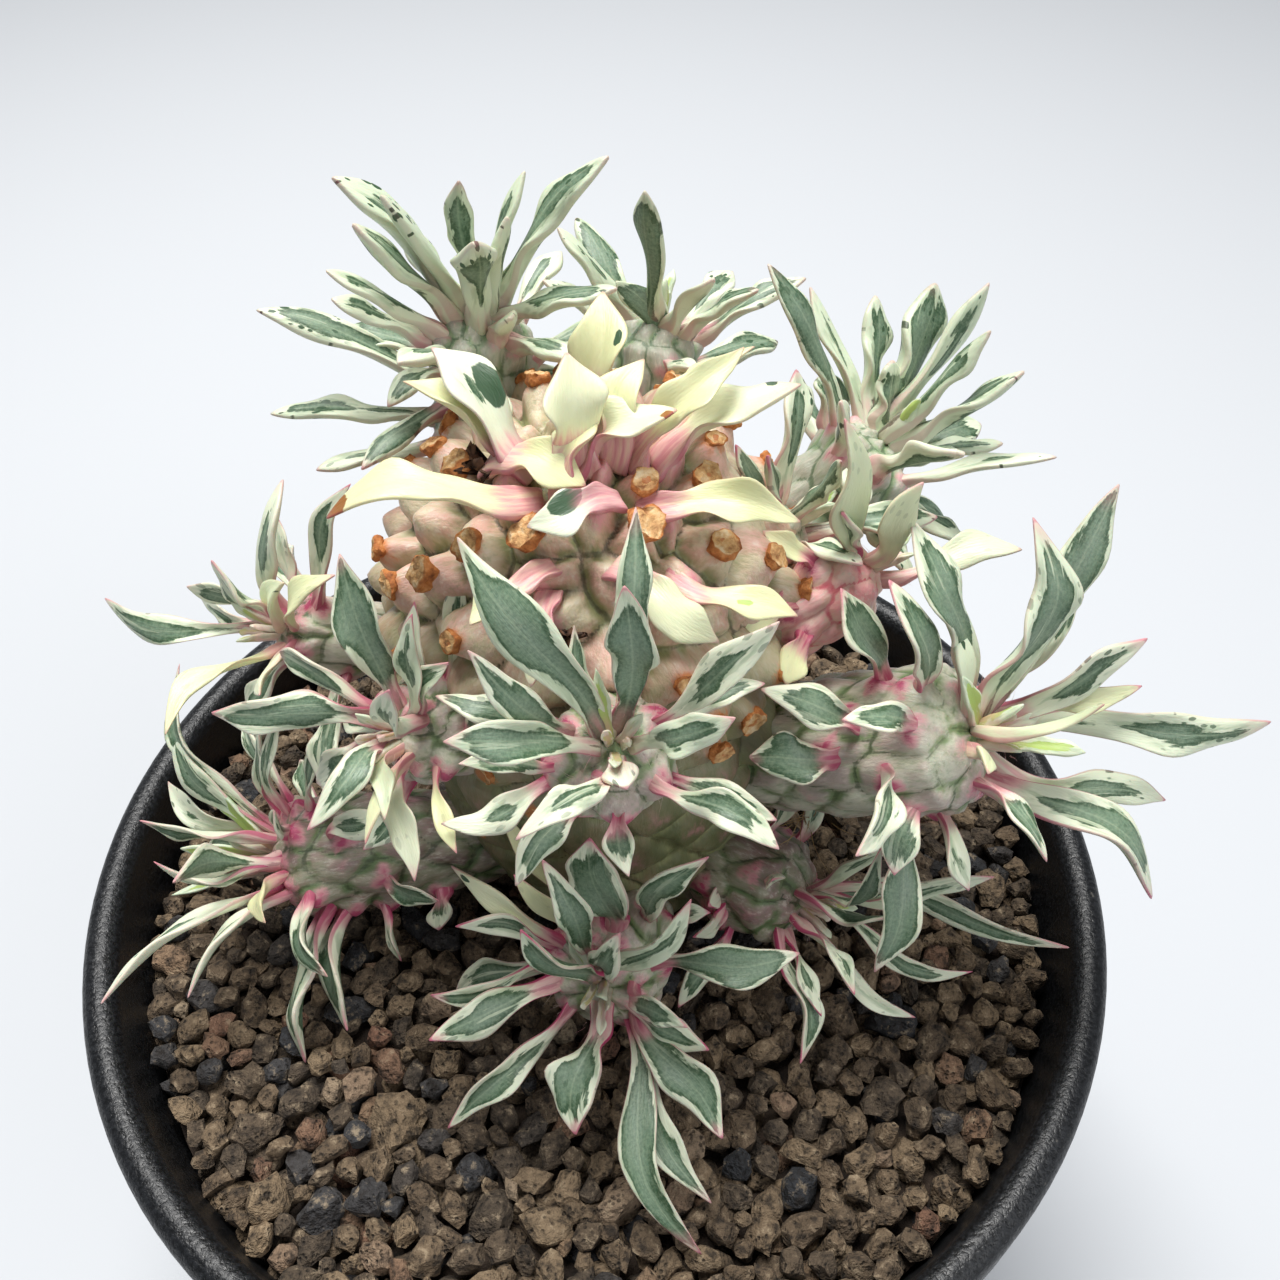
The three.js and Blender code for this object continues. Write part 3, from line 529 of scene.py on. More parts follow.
def skin_finish(name):
    """Tubercles with a pale streaked skin, parted by thin dark lines that are darkened further as painted
    shade in the creases, with green beside them, rose where a leaf grows, orange-brown where one fell, and
    on the trunk greener towards the ground and darker low down as painted shade under the heads"""
    skin, patch, crease_line_and_shade, green = [srgb(*colour) for colour in SKIN_COLOURS[name]]
    hide = Finish(name, Roughness=0.44, Subsurface_Weight=0.12, Subsurface_Scale=0.0012)
    height, rosy, cork = hide.parts(hide.attribute("knob"))
    place = hide.attribute("skin_place")
    cloud = hide.noise(place, 0.3, 4, 0.6)
    streak = hide.noise(place, 1.7, 4, 0.65)
    fine = hide.noise(place, 4, 3, 0.6)
    base = hide.over(skin, patch, cloud, 0.4, 0.6)
    base = hide.over(base, PALE_SKIN, streak, 0.5, 0.7, 0, 0.5)
    base = hide.over(base, green, streak, 0.5, 0.3, 0, 0.4)
    if name == "trunk_skin":
        height_here = hide.parts(hide.here())[2]
        base = hide.over(base, green, height_here, *GREENER, 0, 0.45)
        # painted shade: low on the trunk, under the heads, the skin is mixed towards the darker SHADED_SKIN
        low = hide.step(height_here, *SHADED)
        base = hide.mix(hide.times(low, hide.step(cloud, 0.65, 0.35, 0.6, 0.95)), base, SHADED_SKIN)
    flush = hide.step(hide.noise(place, 0.5, 3), 0.4, 0.6, 0.15, 0.95)
    base = hide.mix(hide.times(hide.step(height, 0.95, 0.2), flush), base, green)
    wander = hide.times(hide.less(streak), 0.3)
    # painted shade: the thin dark crease lines are darkened further, for the shade that falls in the creases
    crease_and_shade_mask = hide.step(hide.plus(height, wander), 0.2, 0, 0, 0.85)
    base = hide.mix(hide.times(crease_and_shade_mask, hide.step(cloud, 0.35, 0.6, 0.35, 1)), base, crease_line_and_shade)
    rose = hide.times(rosy, hide.step(streak, 0.32, 0.6, 0.55, 1.25))
    base = hide.over(base, BLUSH, rose, 0.06, 0.4, 0, 0.7)
    base = hide.over(base, ROSE, rose, 0.34, 0.8, 0, 0.9)
    corky = hide.plus(cork, hide.times(hide.less(streak), 0.6))
    base = hide.over(base, CORK, corky, 0.5, 0.72, 0, 0.9)
    hide.bump(fine, 0.00022, 0.5)
    return hide.colour(base)


def scar_finish():
    """Dry orange-brown cork, paler and rougher across its broken top"""
    cork = Finish("corky_scar", Roughness=0.75)
    here = cork.here()
    top = cork.attribute("scar_top", "Fac")
    grain = cork.noise(here, 900, 4, 0.6)
    side = cork.ramp(grain, [
        (0.3, srgb(126, 70, 34)), (0.5, srgb(186, 114, 56)), (0.7, srgb(212, 150, 92)),
    ])
    middle = cork.ramp(grain, [
        (0.3, srgb(150, 96, 54)), (0.5, srgb(214, 168, 112)), (0.7, srgb(236, 212, 172)),
    ])
    cork.bump(cork.noise(here, 2200, 4), 0.0003, 0.9)
    return cork.colour(cork.mix(cork.step(top, 0.4, 0.8), side, middle))


def dry_finish():
    dry = Finish("dried_flower", Roughness=0.85)
    here = dry.here()
    dry.bump(dry.noise(here, 3000, 3), 0.0001, 0.8)
    return dry.colour(dry.ramp(dry.noise(here, 700, 3), [(0.3, srgb(38, 26, 20)), (0.7, srgb(120, 84, 58))]))


def hair_finish():
    hair = Finish("skin_hair", Roughness=0.5)
    return hair.colour(hair.ramp(hair.noise(hair.here(), 400, 2), [(0.3, PALE_SKIN), (0.7, BLUSH)]))


def fibre_finish():
    fibre = Finish("dry_fibre", Roughness=0.7)
    shades = [(0.3, srgb(120, 82, 46)), (0.7, srgb(202, 168, 112))]
    return fibre.colour(fibre.ramp(fibre.noise(fibre.here(), 500, 3), shades))


def grain_finish():
    """Pumice grains, each of its own brown, with pores"""
    grain = Finish("pumice_grain", Roughness=0.92)
    own = grain.attribute("grain", "Fac")
    here = grain.here()
    base = grain.ramp(own, [
        (0.0, srgb(50, 52, 56)), (0.08, srgb(68, 66, 66)), (0.12, srgb(80, 69, 57)),
        (0.5, srgb(106, 89, 70)), (0.9, srgb(138, 118, 93)), (0.95, srgb(124, 90, 72)),
        (1.0, srgb(156, 140, 116)),
    ])
    tone = grain.noise(here, 700, 4, 0.65)
    base = grain.over(base, srgb(34, 28, 23), tone, 0.54, 0.32, 0, 0.85)
    base = grain.over(base, srgb(184, 164, 136), tone, 0.54, 0.72, 0, 0.6)
    pores = grain.step(grain.cells(here, 1500)["Distance"], 0.4, 0.1, 0, 0.5)
    pores = grain.times(pores, grain.step(grain.noise(here, 500, 2), 0.4, 0.56))
    base = grain.mix(pores, base, srgb(30, 24, 20))
    grain.bump(grain.less(grain.noise(here, 1100, 3, 0.7), pores), 0.0008, 1)
    return grain.colour(base)


def shaded_bed_finish():
    bed = Finish("soil_bed", Roughness=0.95)
    here = bed.here()
    bed.bump(bed.noise(here, 500, 5, 0.7), 0.0012, 1)
    # painted shade: the soil under the grains is dark brown, for the shade in the gaps between the grains
    return bed.colour(bed.ramp(bed.noise(here, 400, 4), [(0.3, srgb(30, 24, 20)), (0.7, srgb(74, 60, 49))]))


def pot_finish():
    """Matt black moulded plastic with a fine grain and flecks of dust"""
    plastic = Finish("black_plastic", Specular_IOR_Level=0.5)
    here = plastic.here()
    fine = plastic.noise(here, 2200, 2, 0.6)
    dust = plastic.step(plastic.noise(here, 950, 3, 0.6), 0.68, 0.74, 0, 0.5)
    dust = plastic.times(dust, plastic.step(plastic.noise(here, 90, 2), 0.5, 0.62))
    base = plastic.mix(plastic.step(fine, 0.35, 0.7), srgb(9, 10, 12), srgb(24, 26, 30))
    plastic.feed(plastic.shader.inputs["Roughness"], plastic.step(fine, 0.3, 0.7, 0.33, 0.52))
    plastic.bump(fine, 0.00025, 0.55)
    return plastic.colour(plastic.mix(dust, base, srgb(120, 116, 108)))


# Pieces
def mesh_from(name, bm):
    mesh = bpy.data.meshes.new(name)
    bm.to_mesh(mesh)
    bm.free()
    return mesh


def put(name, data):
    """Puts a mesh, a camera or a light into the scene"""
    made = bpy.data.objects.new(name, data)
    bpy.context.scene.collection.objects.link(made)
    return made


def add_piece(name, bm, finish, node, sharp=None):
    """Scales a finished shape to metres, gives it its finish and puts it on the part's one body"""
    bmesh.ops.scale(bm, vec=(MM, MM, MM), verts=bm.verts)
    for face in bm.faces:
        face.smooth = True
    mesh = mesh_from(name, bm)
    if sharp:
        mesh.set_sharp_from_angle(angle=radians(sharp))
    mesh.materials.append(finish)
    piece = put(name, mesh)
    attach(piece, "root")
    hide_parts(node)
    return piece


def subdivide(piece):
    smooth = piece.modifiers.new("smooth", "SUBSURF")
    smooth.levels = 1
    smooth.render_levels = 1


def turned(profile, steps):
    """A profile of radius and height, spun about the Z axis into one closed body"""
    bm = bmesh.new()
    verts = [bm.verts.new((radius, 0, height)) for radius, height in profile]
    edges = [bm.edges.new(pair) for pair in zip(verts, verts[1:])]
    bmesh.ops.spin(
        bm, geom=verts + edges, cent=(0, 0, 0), axis=(0, 0, 1), angle=2 * pi, steps=steps, use_merge=True)
    bmesh.ops.remove_doubles(bm, verts=bm.verts, dist=1e-4)
    bmesh.ops.recalc_face_normals(bm, faces=bm.faces)
    return bm


# The pot and its soil
INNER_RIM = RIM_RADIUS - RIM_WIDTH
INNER_FOOT = FOOT_RADIUS - WALL
STRAIGHT_TO = POT_HEIGHT - RIM_WIDTH


def inner_radius(height):
    return INNER_FOOT + (INNER_RIM - INNER_FOOT) * height / STRAIGHT_TO


def arc(centre, radius, start, end, steps):
    """Points on a quarter turn or other arc of a profile"""
    angles = [radians(blend(start, end, step / steps)) for step in range(steps + 1)]
    return [(centre[0] + radius * cos(angle), centre[1] + radius * sin(angle)) for angle in angles]


def make_pot(finish):
    roll_bottom = POT_HEIGHT - ROLL_HEIGHT
    crown = RIM_WIDTH / 2
    profile = [
        (0, 0),
        *arc((FOOT_RADIUS - ROUNDING, ROUNDING), ROUNDING, -90, 0, 4),
        (inner_radius(roll_bottom) + WALL, roll_bottom - ROUNDING),
        *arc((RIM_RADIUS - ROUNDING, roll_bottom + ROUNDING), ROUNDING, -70, 0, 4),
        *arc((RIM_RADIUS - crown, POT_HEIGHT - crown), crown, 0, 180, 10),
        (INNER_RIM, STRAIGHT_TO), (inner_radius(FLOOR), FLOOR), (0, FLOOR),
    ]
    pot = add_piece("pot_shell", turned(profile, POT_STEPS), finish, "pot", POT_SHARP)
    bm = bmesh.new()
    for index in range(DRAIN_HOLES):
        angle = 2 * pi * index / DRAIN_HOLES
        place = Vector((DRAIN_RING * cos(angle), DRAIN_RING * sin(angle), FLOOR / 2)) * MM
        bmesh.ops.create_cone(
            bm, cap_ends=True, segments=DRAIN_STEPS, radius1=DRAIN_RADIUS * MM, radius2=DRAIN_RADIUS * MM,
            depth=3 * FLOOR * MM, matrix=Matrix.Translation(place))
    drills = put("drain_drills", mesh_from("drain_drills", bm))
    drill = pot.modifiers.new("drain", "BOOLEAN")
    drill.object = drills
    with bpy.context.temp_override(object=pot, active_object=pot):
        bpy.ops.object.modifier_apply(modifier="drain")
    bpy.data.objects.remove(drills)


def make_bed(finish):
    profile = [
        (0, FLOOR + GAP), (inner_radius(FLOOR) - GAP, FLOOR + GAP),
        (inner_radius(BED_TOP) - GAP, BED_TOP), (0, BED_TOP),
    ]
    add_piece("soil_bed", turned(profile, BED_STEPS), finish, "soil", POT_SHARP)


def pack_grains(draw, sizes, closeness):
    """Places for grains, the largest first, each clear of the trunk and of those already down"""
    trunk = trunk_middle(SOIL_TOP)
    wall = inner_radius(SOIL_TOP) - GAP
    cell = 2 * max(sizes)
    grid = {}
    placed = []
    for size in sorted(sizes, reverse=True):
        for _ in range(TRIES):
            reach = (wall - size * 0.9) * sqrt(draw.random())
            angle = draw.uniform(0, 2 * pi)
            x, y = reach * cos(angle), reach * sin(angle)
            if hypot(x - trunk.x, y - trunk.y) < TRUNK_CLEARING:
                continue
            column, row = int(x // cell), int(y // cell)
            near = [
                other for across in (-1, 0, 1) for up in (-1, 0, 1)
                for other in grid.get((column + across, row + up), ())
            ]
            if all(hypot(x - a, y - b) > closeness * (size + other) for a, b, other in near):
                grid.setdefault((column, row), []).append((x, y, size))
                placed.append((x, y, size))
                break
    return placed


def ball_blank(subdivisions, layer):
    """A plain ball, which grains and lumps are shaped from"""
    bm = bmesh.new()
    bm.verts.layers.float.new(layer)
    bmesh.ops.create_icosphere(bm, subdivisions=subdivisions, radius=1)
    return mesh_from(layer + "_blank", bm)


def add_copy(bm, blank):
    """Puts a blank's shape into the mesh, and gives its vertices"""
    start = len(bm.verts)
    bm.from_mesh(blank)
    bm.verts.ensure_lookup_table()
    return bm.verts[start:]


def add_grain(bm, tone, draw, blank, place, size, value):
    """One rough grain: a ball broken flat on several sides and roughened"""
    made = add_copy(bm, blank)
    facets = [random_way(draw).normalized() for _ in range(GRAIN_FACETS)]
    depths = [draw.uniform(0.55, 0.85) for _ in facets]
    shift = random_step(draw, 50)
    turn = Matrix.Rotation(draw.uniform(0, 6.3), 3, "Z") @ Matrix.Rotation(draw.uniform(-0.8, 0.8), 3, "X")
    stretch = Vector((draw.uniform(1.0, 1.45), draw.uniform(0.85, 1.15), draw.uniform(0.8, 1.1)))
    for vert in made:
        point = vert.co.copy()
        for facet, depth in zip(facets, depths):
            over = point.dot(facet) - depth
            if over > 0:
                point -= facet * over * 0.85
        point *= 1 + 0.3 * noise.noise(vert.co * 1.6 + shift) + 0.3 * noise.noise(vert.co * 4 + shift)
        vert.co = place + turn @ (point * stretch) * size
        vert[tone] = value


def make_grains(finish):
    draw = random.Random(4)
    sizes = {
        name: [draw.uniform(least, most) for count, least, most in groups for _ in range(count)]
        for name, (_, _, groups) in GRAIN_LAYERS.items()
    }
    small, large = ball_blank(2, "grain"), ball_blank(3, "grain")
    for name, (deep, closeness, _) in GRAIN_LAYERS.items():
        bm = bmesh.new()
        tone = bm.verts.layers.float.new("grain")
        for x, y, size in pack_grains(draw, sizes[name], closeness):
            place = Vector((x, y, SOIL_TOP - deep - 0.45 * (size - 2) + draw.uniform(-0.7, 0.7)))
            blank = large if size > LARGE_GRAIN else small
            add_grain(bm, tone, draw, blank, place, size, draw.random())
        add_piece(name, bm, finish, "soil", GRAIN_SHARP)


# Tubercled bodies
class Knob(NamedTuple):
    """One tubercle: where it is, which way its tip stands, how tall it is and how far its tip stands out,
    how rosy it is, how steep its flanks are, the size of its scar, and how far it reaches"""

    place: Vector
    lean: Vector
    tall: float
    tip: float = 0.0
    blush: float = 0.0
    cone: float = 0.15
    scar: float = 0.0
    reach: float = 2.6


class Ring(NamedTuple):
    """One ring of a tubercled body: its centre, two directions across and its radius"""

    centre: Vector
    side: Vector
    up: Vector
    radius: float


def knobbed(rings, columns, knobs, depth, axis, flatten, crease):
    """A closed body through its rings, raised into a tubercle round each knob and creased between them.
    Above 1, flatten makes tubercles wider than they are long."""
    rows = len(rings) - 1
    bm = bmesh.new()
    look = bm.verts.layers.float_vector.new("knob")
    skin_place = bm.verts.layers.float_vector.new("skin_place")
    bmesh.ops.create_uvsphere(bm, u_segments=columns, v_segments=rows, radius=1)
    for vert in bm.verts:
        row = round(acos(max(-1, min(1, vert.co.z))) / pi * rows)
        angle = atan2(vert.co.y, vert.co.x)
        ring = rings[row]
        outward = ring.side * cos(angle) + ring.up * sin(angle)
        vert.co = ring.centre + outward * (0 if row in (0, rows) else ring.radius)
    bmesh.ops.recalc_face_normals(bm, faces=bm.faces)
    bm.normal_update()
    tree = KDTree(len(knobs))
    for index, spot in enumerate(knobs):
        tree.insert(squeezed(spot.place, axis, flatten), index)
    tree.balance()
    turns = [6 * spread(spot.place.x + 3 * spot.place.y) for spot in knobs]
    for vert in bm.verts:
        wobble = Vector([noise.noise(vert.co * 0.5 + Vector((9 * turn, 0, 0))) for turn in range(3)]) * 0.6
        looked_for = squeezed(vert.co + wobble, axis, flatten)
        (own, first, near), (other, _, far) = tree.find_n(looked_for, 2)
        border = (far * far - near * near) / (2 * (own - other).length + 1e-6)
        spot = knobs[first]
        inside = min(1, border / crease)
        raised = eased(inside)
        offset = vert.co - spot.place
        closeness = max(0.0, 1 - offset.length / spot.reach)
        around = atan2(offset.dot(vert.normal.cross(axis)), offset.dot(axis))
        ray = 0.5 + 0.5 * cos(RAYS * around + turns[first])
        pink = spot.blush * closeness ** blend(1.9, 0.7, ray)
        dome = raised * (1 - spot.cone * min(1, offset.length / spot.reach))
        vert[look] = (raised, pink, closeness if spot.scar else 0)
        vert[skin_place] = squeezed(vert.co, axis, 0.35)
        vert.co += vert.normal * (depth * (spot.tall * dome - 0.5))
        vert.co += spot.lean * (spot.tip * closeness ** 1.3)
    for _ in range(2):
        bmesh.ops.smooth_vert(
            bm, verts=bm.verts, factor=0.5, use_axis_x=True, use_axis_y=True, use_axis_z=True)
    return bm


def squeezed(point, axis, flatten):
    return point + axis * (point.dot(axis) * (flatten - 1))


def trunk_middle(height):
    """The middle of the trunk at a height, which leans from its foot to its bulb"""
    share = clamp((height - SOIL_TOP) / (BULB_MIDDLE - SOIL_TOP))
    return Vector((blend(FOOT_X, BULB_X, share), blend(FOOT_Y, BULB_Y, share), height))


def trunk_radius(height):
    reach = BULB_ABOVE if height > BULB_MIDDLE else BULB_BELOW
    return BULB_RADIUS * sqrt(max(0, 1 - ((height - BULB_MIDDLE) / reach) ** 2))


def trunk_top(x, y):
    """The height of the crown's skin over a place"""
    reach = hypot(x - BULB_X, y - BULB_Y) / BULB_RADIUS
    return BULB_MIDDLE + BULB_ABOVE * sqrt(max(0, 1 - reach * reach))


def trunk_normal(point):
    """The way out of the trunk's skin"""
    middle = trunk_middle(point.z)
    reach = BULB_ABOVE if point.z > BULB_MIDDLE else BULB_BELOW
    across = (point - middle) / BULB_RADIUS**2
    return (across + Vector((0, 0, (point.z - BULB_MIDDLE) / reach**2))).normalized()


def trunk_surface(heading, height, sink=0.0):
    """A point on the trunk's skin and the way out of it"""
    point = trunk_middle(height) + towards(heading, 0) * trunk_radius(height)
    normal = trunk_normal(point)
    return point - normal * sink, normal


def trunk_leaf_foot(x, y, direction):
    """Where a leaf's tubercle stands on the crown, the way it leans, and the tip that the leaf grows from"""
    place = Vector((x, y, trunk_top(x, y)))
    normal = trunk_normal(place)
    lean = (direction + normal * 0.4).normalized()
    out = normal * TRUNK_KNOB * (TRUNK_LEAF_TALL - 0.5) + lean * TRUNK_LEAF_TIP
    return place, lean, place + out * 0.45


def trunk_knobs(draw):
    """The tubercles, turned by the golden angle and larger further down, moved under the leaves and scars
    that are known"""
    places = []
    height = TRUNK_TOP - 0.6
    while height > SOIL_TOP - 6:
        places.append(trunk_surface(len(places) * GOLDEN_ANGLE, height)[0])
        cell = blend(*TRUNK_CELLS, min(1, (TRUNK_TOP - height) / CELLS_GROW))
        slope = hypot(1, (trunk_radius(height) - trunk_radius(height - 0.5)) / 0.5)
        height -= cell / (2 * pi * max(trunk_radius(height), 3) * slope)
    known = []
    for _, x, y, heading, rise, *_ in TRUNK_LEAVES:
        place, lean, _ = trunk_leaf_foot(x, y, towards(heading, rise))
        known.append(Knob(place, lean, TRUNK_LEAF_TALL, TRUNK_LEAF_TIP, 0.55, 0.3))
    for heading, height, size in SCARS:
        place, normal = trunk_surface(heading, height)
        known.append(Knob(place, normal, 1.25, 0.8, 0.22, 0.5, size, TRUNK_REACH))
    for spot in known:
        places.remove(min(places, key=lambda place: (place - spot.place).length))
    spots = known
    for place in places:
        high = clamp((place.z - RIPE_FROM) / RIPE_OVER)
        scar = draw.uniform(1.5, 2.4) if draw.random() < blend(0.08, 0.6, high) else 0
        tip = blend(0.2, 1, high) if scar else blend(0, 0.6, high)
        tall = blend(0.42, 1.2, high) * draw.uniform(0.85, 1.15)
        blush = draw.uniform(0, 0.25)
        cone = blend(0.1, 0.6, high)
        spots.append(Knob(place, trunk_normal(place), tall, tip, blush, cone, scar, TRUNK_REACH))
    return spots


def make_trunk(finish, cork):
    rings = []
    for row in range(TRUNK_ROWS + 1):
        share = row / TRUNK_ROWS
        if share < CROWN_ROWS:
            height = BULB_MIDDLE + BULB_ABOVE * cos(share / CROWN_ROWS * pi / 2)
        else:
            height = blend(BULB_MIDDLE, TRUNK_FOOT, (share - CROWN_ROWS) / (1 - CROWN_ROWS))
        rings.append(Ring(trunk_middle(height), Vector((1, 0, 0)), Vector((0, 1, 0)), trunk_radius(height)))
    draw = random.Random(11)
    spots = trunk_knobs(draw)
    up = Vector((0, 0, 1))
    bm = knobbed(rings, TRUNK_COLUMNS, spots, TRUNK_KNOB, up, TRUNK_FLATTEN, TRUNK_CREASE)
    add_piece("trunk_body", bm, finish, "trunk")
    blank = ball_blank(3, "scar_top")
    bm = bmesh.new()
    top_share = bm.verts.layers.float.new("scar_top")
    for spot in spots:
        if spot.scar:
            out = TRUNK_KNOB * (spot.tall - 0.5) + spot.tip - SCAR_SUNK
            place = spot.place + spot.lean * out
            add_scar(bm, top_share, draw, blank, place, spot.lean, SCAR_SIZE * spot.scar)
    add_piece("trunk_scars", bm, cork, "trunk", SCAR_SHARP)


def add_scar(bm, top_share, draw, blank, place, outward, size):
    """A corky cap with a broken, sunken top"""
    tilt = (outward + random_step(draw, 0.3)).normalized()
    turn = tilt.to_track_quat("Z", "Y").to_matrix() @ Matrix.Rotation(draw.uniform(0, 6), 3, "Z")
    shift = random_step(draw, 50)
    wide = draw.uniform(0.8, 1.1)
    for vert in add_copy(bm, blank):
        ball = vert.co * 0.5
        top = clamp((ball.z - 0.16) / 0.14)
        point = ball * (1.1 + 0.42 * noise.noise(ball * 2.6 + shift) + 0.14 * noise.noise(ball * 8 + shift))
        point.z = min(point.z, 0.2 + 0.16 * noise.noise(ball * 6 + shift)) * 0.8
        point.y *= wide
        vert.co = place + turn @ point * size
        vert[top_share] = top


# Leaves
def blade_blank():
    """A closed flat blade, one wide, one long and one deep, which every leaf is shaped from"""
    bm = bmesh.new()
    for layer in LEAF_LAYERS:
        bm.verts.layers.float_vector.new(layer)
    bm.verts.layers.float.new("leaf_foot")
    bmesh.ops.create_grid(bm, x_segments=LEAF_COLUMNS, y_segments=LEAF_ROWS, size=0.5)
    bmesh.ops.translate(bm, verts=bm.verts, vec=(0, 0.5, 0))
    bmesh.ops.solidify(bm, geom=bm.faces[:], thickness=1)
    lowest = min(vert.co.z for vert in bm.verts)
    bmesh.ops.translate(bm, verts=bm.verts, vec=(0, 0, -lowest))
    bmesh.ops.recalc_face_normals(bm, faces=bm.faces)
    return mesh_from("blade_blank", bm)


def outline(share, widest, neck, blunt):
    """Half the leaf's outline, as a share of its full width: a neck, widest past the middle, then a point"""
    if share < widest:
        return blend(neck, 1, eased(share / widest))
    fall = (share - widest) / (1 - widest)
    return max(0.03, 1 - fall**blunt)


def add_leaf(
        bm, blank, draw, base, direction, top_side, row, buried, fleshy=1.0, rosy=1.0, ripe=0.68, marks=()):
    """Shapes one blade: clasping at its foot, arched along its length, folded along its middle, waved and
    turned at its edge"""
    kind, length, width, bend = row
    look = dict(zip(LEAF_TRAITS, LEAF_KINDS[kind]))
    width += 0 if kind == "y" else BROADER
    made = add_copy(bm, blank)
    place, blade, tint, mark = (bm.verts.layers.float_vector[layer] for layer in LEAF_LAYERS)
    rosy_foot = bm.verts.layers.float["leaf_foot"]
    across = direction.cross(top_side)
    curve = radians(bend) + 1e-4
    is_young = kind == "y"
    is_fleshy = fleshy > 1
    loose = 0.1 if is_young else 0.3 if is_fleshy else 1
    seed = draw.uniform(0, 90)
    widest = draw.uniform(*WIDEST)
    waves = draw.uniform(1.1, 2.3)
    phases = (draw.random(), draw.random())
    twist = radians(draw.uniform(-42, 42)) * loose
    sway = (draw.uniform(-0.09, 0.09) * loose + look["bow"]) * length
    snake = draw.uniform(-0.065, 0.065) * length * loose
    arch = draw.triangular(-0.05, 0.2, 0.06) * length * loose
    hook = draw.triangular(-0.02, 0.09, 0.01) * length * loose
    margin = look["margin"] * draw.uniform(0.65, 1.4)
    thick = width * look["thick"] * fleshy
    fold = look["fold"] * draw.triangular(0.2, 1.8, 0.8) * (0.7 if is_fleshy else 1)
    pink = look["pink"] * draw.uniform(0.5, 1.2) * rosy
    if is_fleshy and not is_young:
        look["blunt"] = FLESHY_BLUNT
        look["neck"] = max(look["neck"], FLESHY_NECK)
        look["speckle"] += FLESHY_SPECKLE
    for vert in made:
        side, share, top = vert.co.x * 2, vert.co.y, vert.co.z
        phase = phases[0 if side < 0 else 1]
        emerged = max(0, share * length - buried)
        foot = exp(-emerged / 0.9)
        emerged /= length - buried
        half = width * (outline(emerged, widest, look["neck"], look["blunt"]) + 0.2 * foot) / 2
        half *= 1 + 0.15 * sin(2 * pi * (1.7 * waves * share + phase))
        turn = curve * (share - 0.5)
        forward = length * (sin(turn) + sin(curve / 2)) / curve
        outward = length * (cos(curve / 2) - cos(turn)) / curve
        outward += hook * max(0, share - 0.7) / 0.3 - arch * sin(pi * share**1.3)
        up = top_side * cos(turn) + direction * sin(turn)
        inside = sin(pi * min(1, share * 1.1))
        ripple = sin(2 * pi * (waves * share + phase)) * abs(side) ** 2
        lift = fold * half * abs(side) ** 1.4 * (0.5 + 0.5 * inside) + look["wave"] * width * ripple * inside
        depth = thick * (0.42 + 0.58 * (1 - side * side)) * min(1, 0.35 + 3.2 * (1 - share))
        lift += depth * (1 + 0.8 * foot) * (top - 0.6)
        shift = side * half * (1 - 0.15 * abs(fold))
        shift += sway * sin(pi * share) + snake * sin(2 * pi * share)
        angle = twist * share
        vert.co = (
            base + direction * forward - top_side * outward
            + across * (shift * cos(angle) - lift * sin(angle))
            + up * (lift * cos(angle) + shift * sin(angle) * 0.7)
        )
        edge = min((1 - abs(side)) * half, (1 - share) * length * 0.4)
        vert[place] = (side * half, share * length - buried, seed)
        vert[blade] = (edge, margin, emerged)
        vert[rosy_foot] = ripe
        vert[tint] = (pink, look["fresh"], look["speckle"])
        found = Vector((-1, -1, -1))
        for colour, far, beside, long, wide in marks:
            away = ((share - far) * length / long) ** 2 + ((side * half - beside) / wide) ** 2
            found[MARKS.index(colour)] = max(-1, 1 - away)
        vert[mark] = found


def leaf_top(direction, along, light):
    """The way the leaf's upper face looks: away from its stem's root, and somewhat towards the light"""
    from_stem = (along - direction * along.dot(direction)).normalized()
    return (from_stem + light - direction * light.dot(direction)).normalized()


# Heads
class Head:
    """A leafy head: its stem runs from the root in the trunk to the crown"""

    def __init__(self, name, crown, root, thick):
        self.name = name
        self.crown = Vector(crown)
        self.length = (self.crown - Vector(root)).length
        self.axis = (self.crown - Vector(root)).normalized()
        self.side = Vector((0, 1, 0)).cross(self.axis).normalized()
        self.up = self.axis.cross(self.side)
        self.thick = thick
        self.fleshy = FLESHY.get(name, 1.0)
        self.draw = random.Random(name)

    def radius(self, below):
        """The stem's radius, which is less at the crown and at the root"""
        crown = min(1, 0.42 + 0.19 * below)
        root = min(1, 0.72 + 0.5 * (self.length - below) / self.length)
        return self.thick * crown * root

    def outward(self, turn):
        return self.side * cos(turn) + self.up * sin(turn)

    def leaning(self, turn, tilt):
        return self.axis * cos(tilt) + self.outward(turn) * sin(tilt)


def leaf_rows(table):
    rows = [row.split() for row in table.split(";")]
    return [(kind, *map(float, numbers)) for kind, *numbers in rows]


def leaf_row(kind, below, direction, *sizes):
    """A row like those of the table, for a leaf that grows in a direction"""
    heading = degrees(atan2(direction.x, direction.y))
    return (kind, below, heading, degrees(asin(direction.z)), *sizes)


def fill_leaves(head, rows, count):
    """Leaves for the sides of a head that its own rows leave open, turned by the golden angle"""
    taken = [towards(row[2], row[3]) for row in rows]
    added = []
    for step in range(FILL_TRIES):
        if len(added) == count:
            break
        share = (step * 0.13) % 1
        direction = head.leaning(radians(step * GOLDEN_ANGLE), radians(blend(*FILL_TILT, share)))
        below = 2 + 6 * share
        size = 1 + 0.15 * spread(step + head.thick)
        tip_height = head.crown.z - below * head.axis.z + (FILL_LENGTH + 2) * direction.z
        is_open = all(other.angle(direction) > radians(FILL_APART) for other in taken)
        if is_open and tip_height > SOIL_TOP + FILL_OVER_SOIL:
            taken.append(direction)
            added.append(leaf_row("m", below, direction, FILL_LENGTH * size, FILL_WIDTH * size, FILL_BEND))
    return added


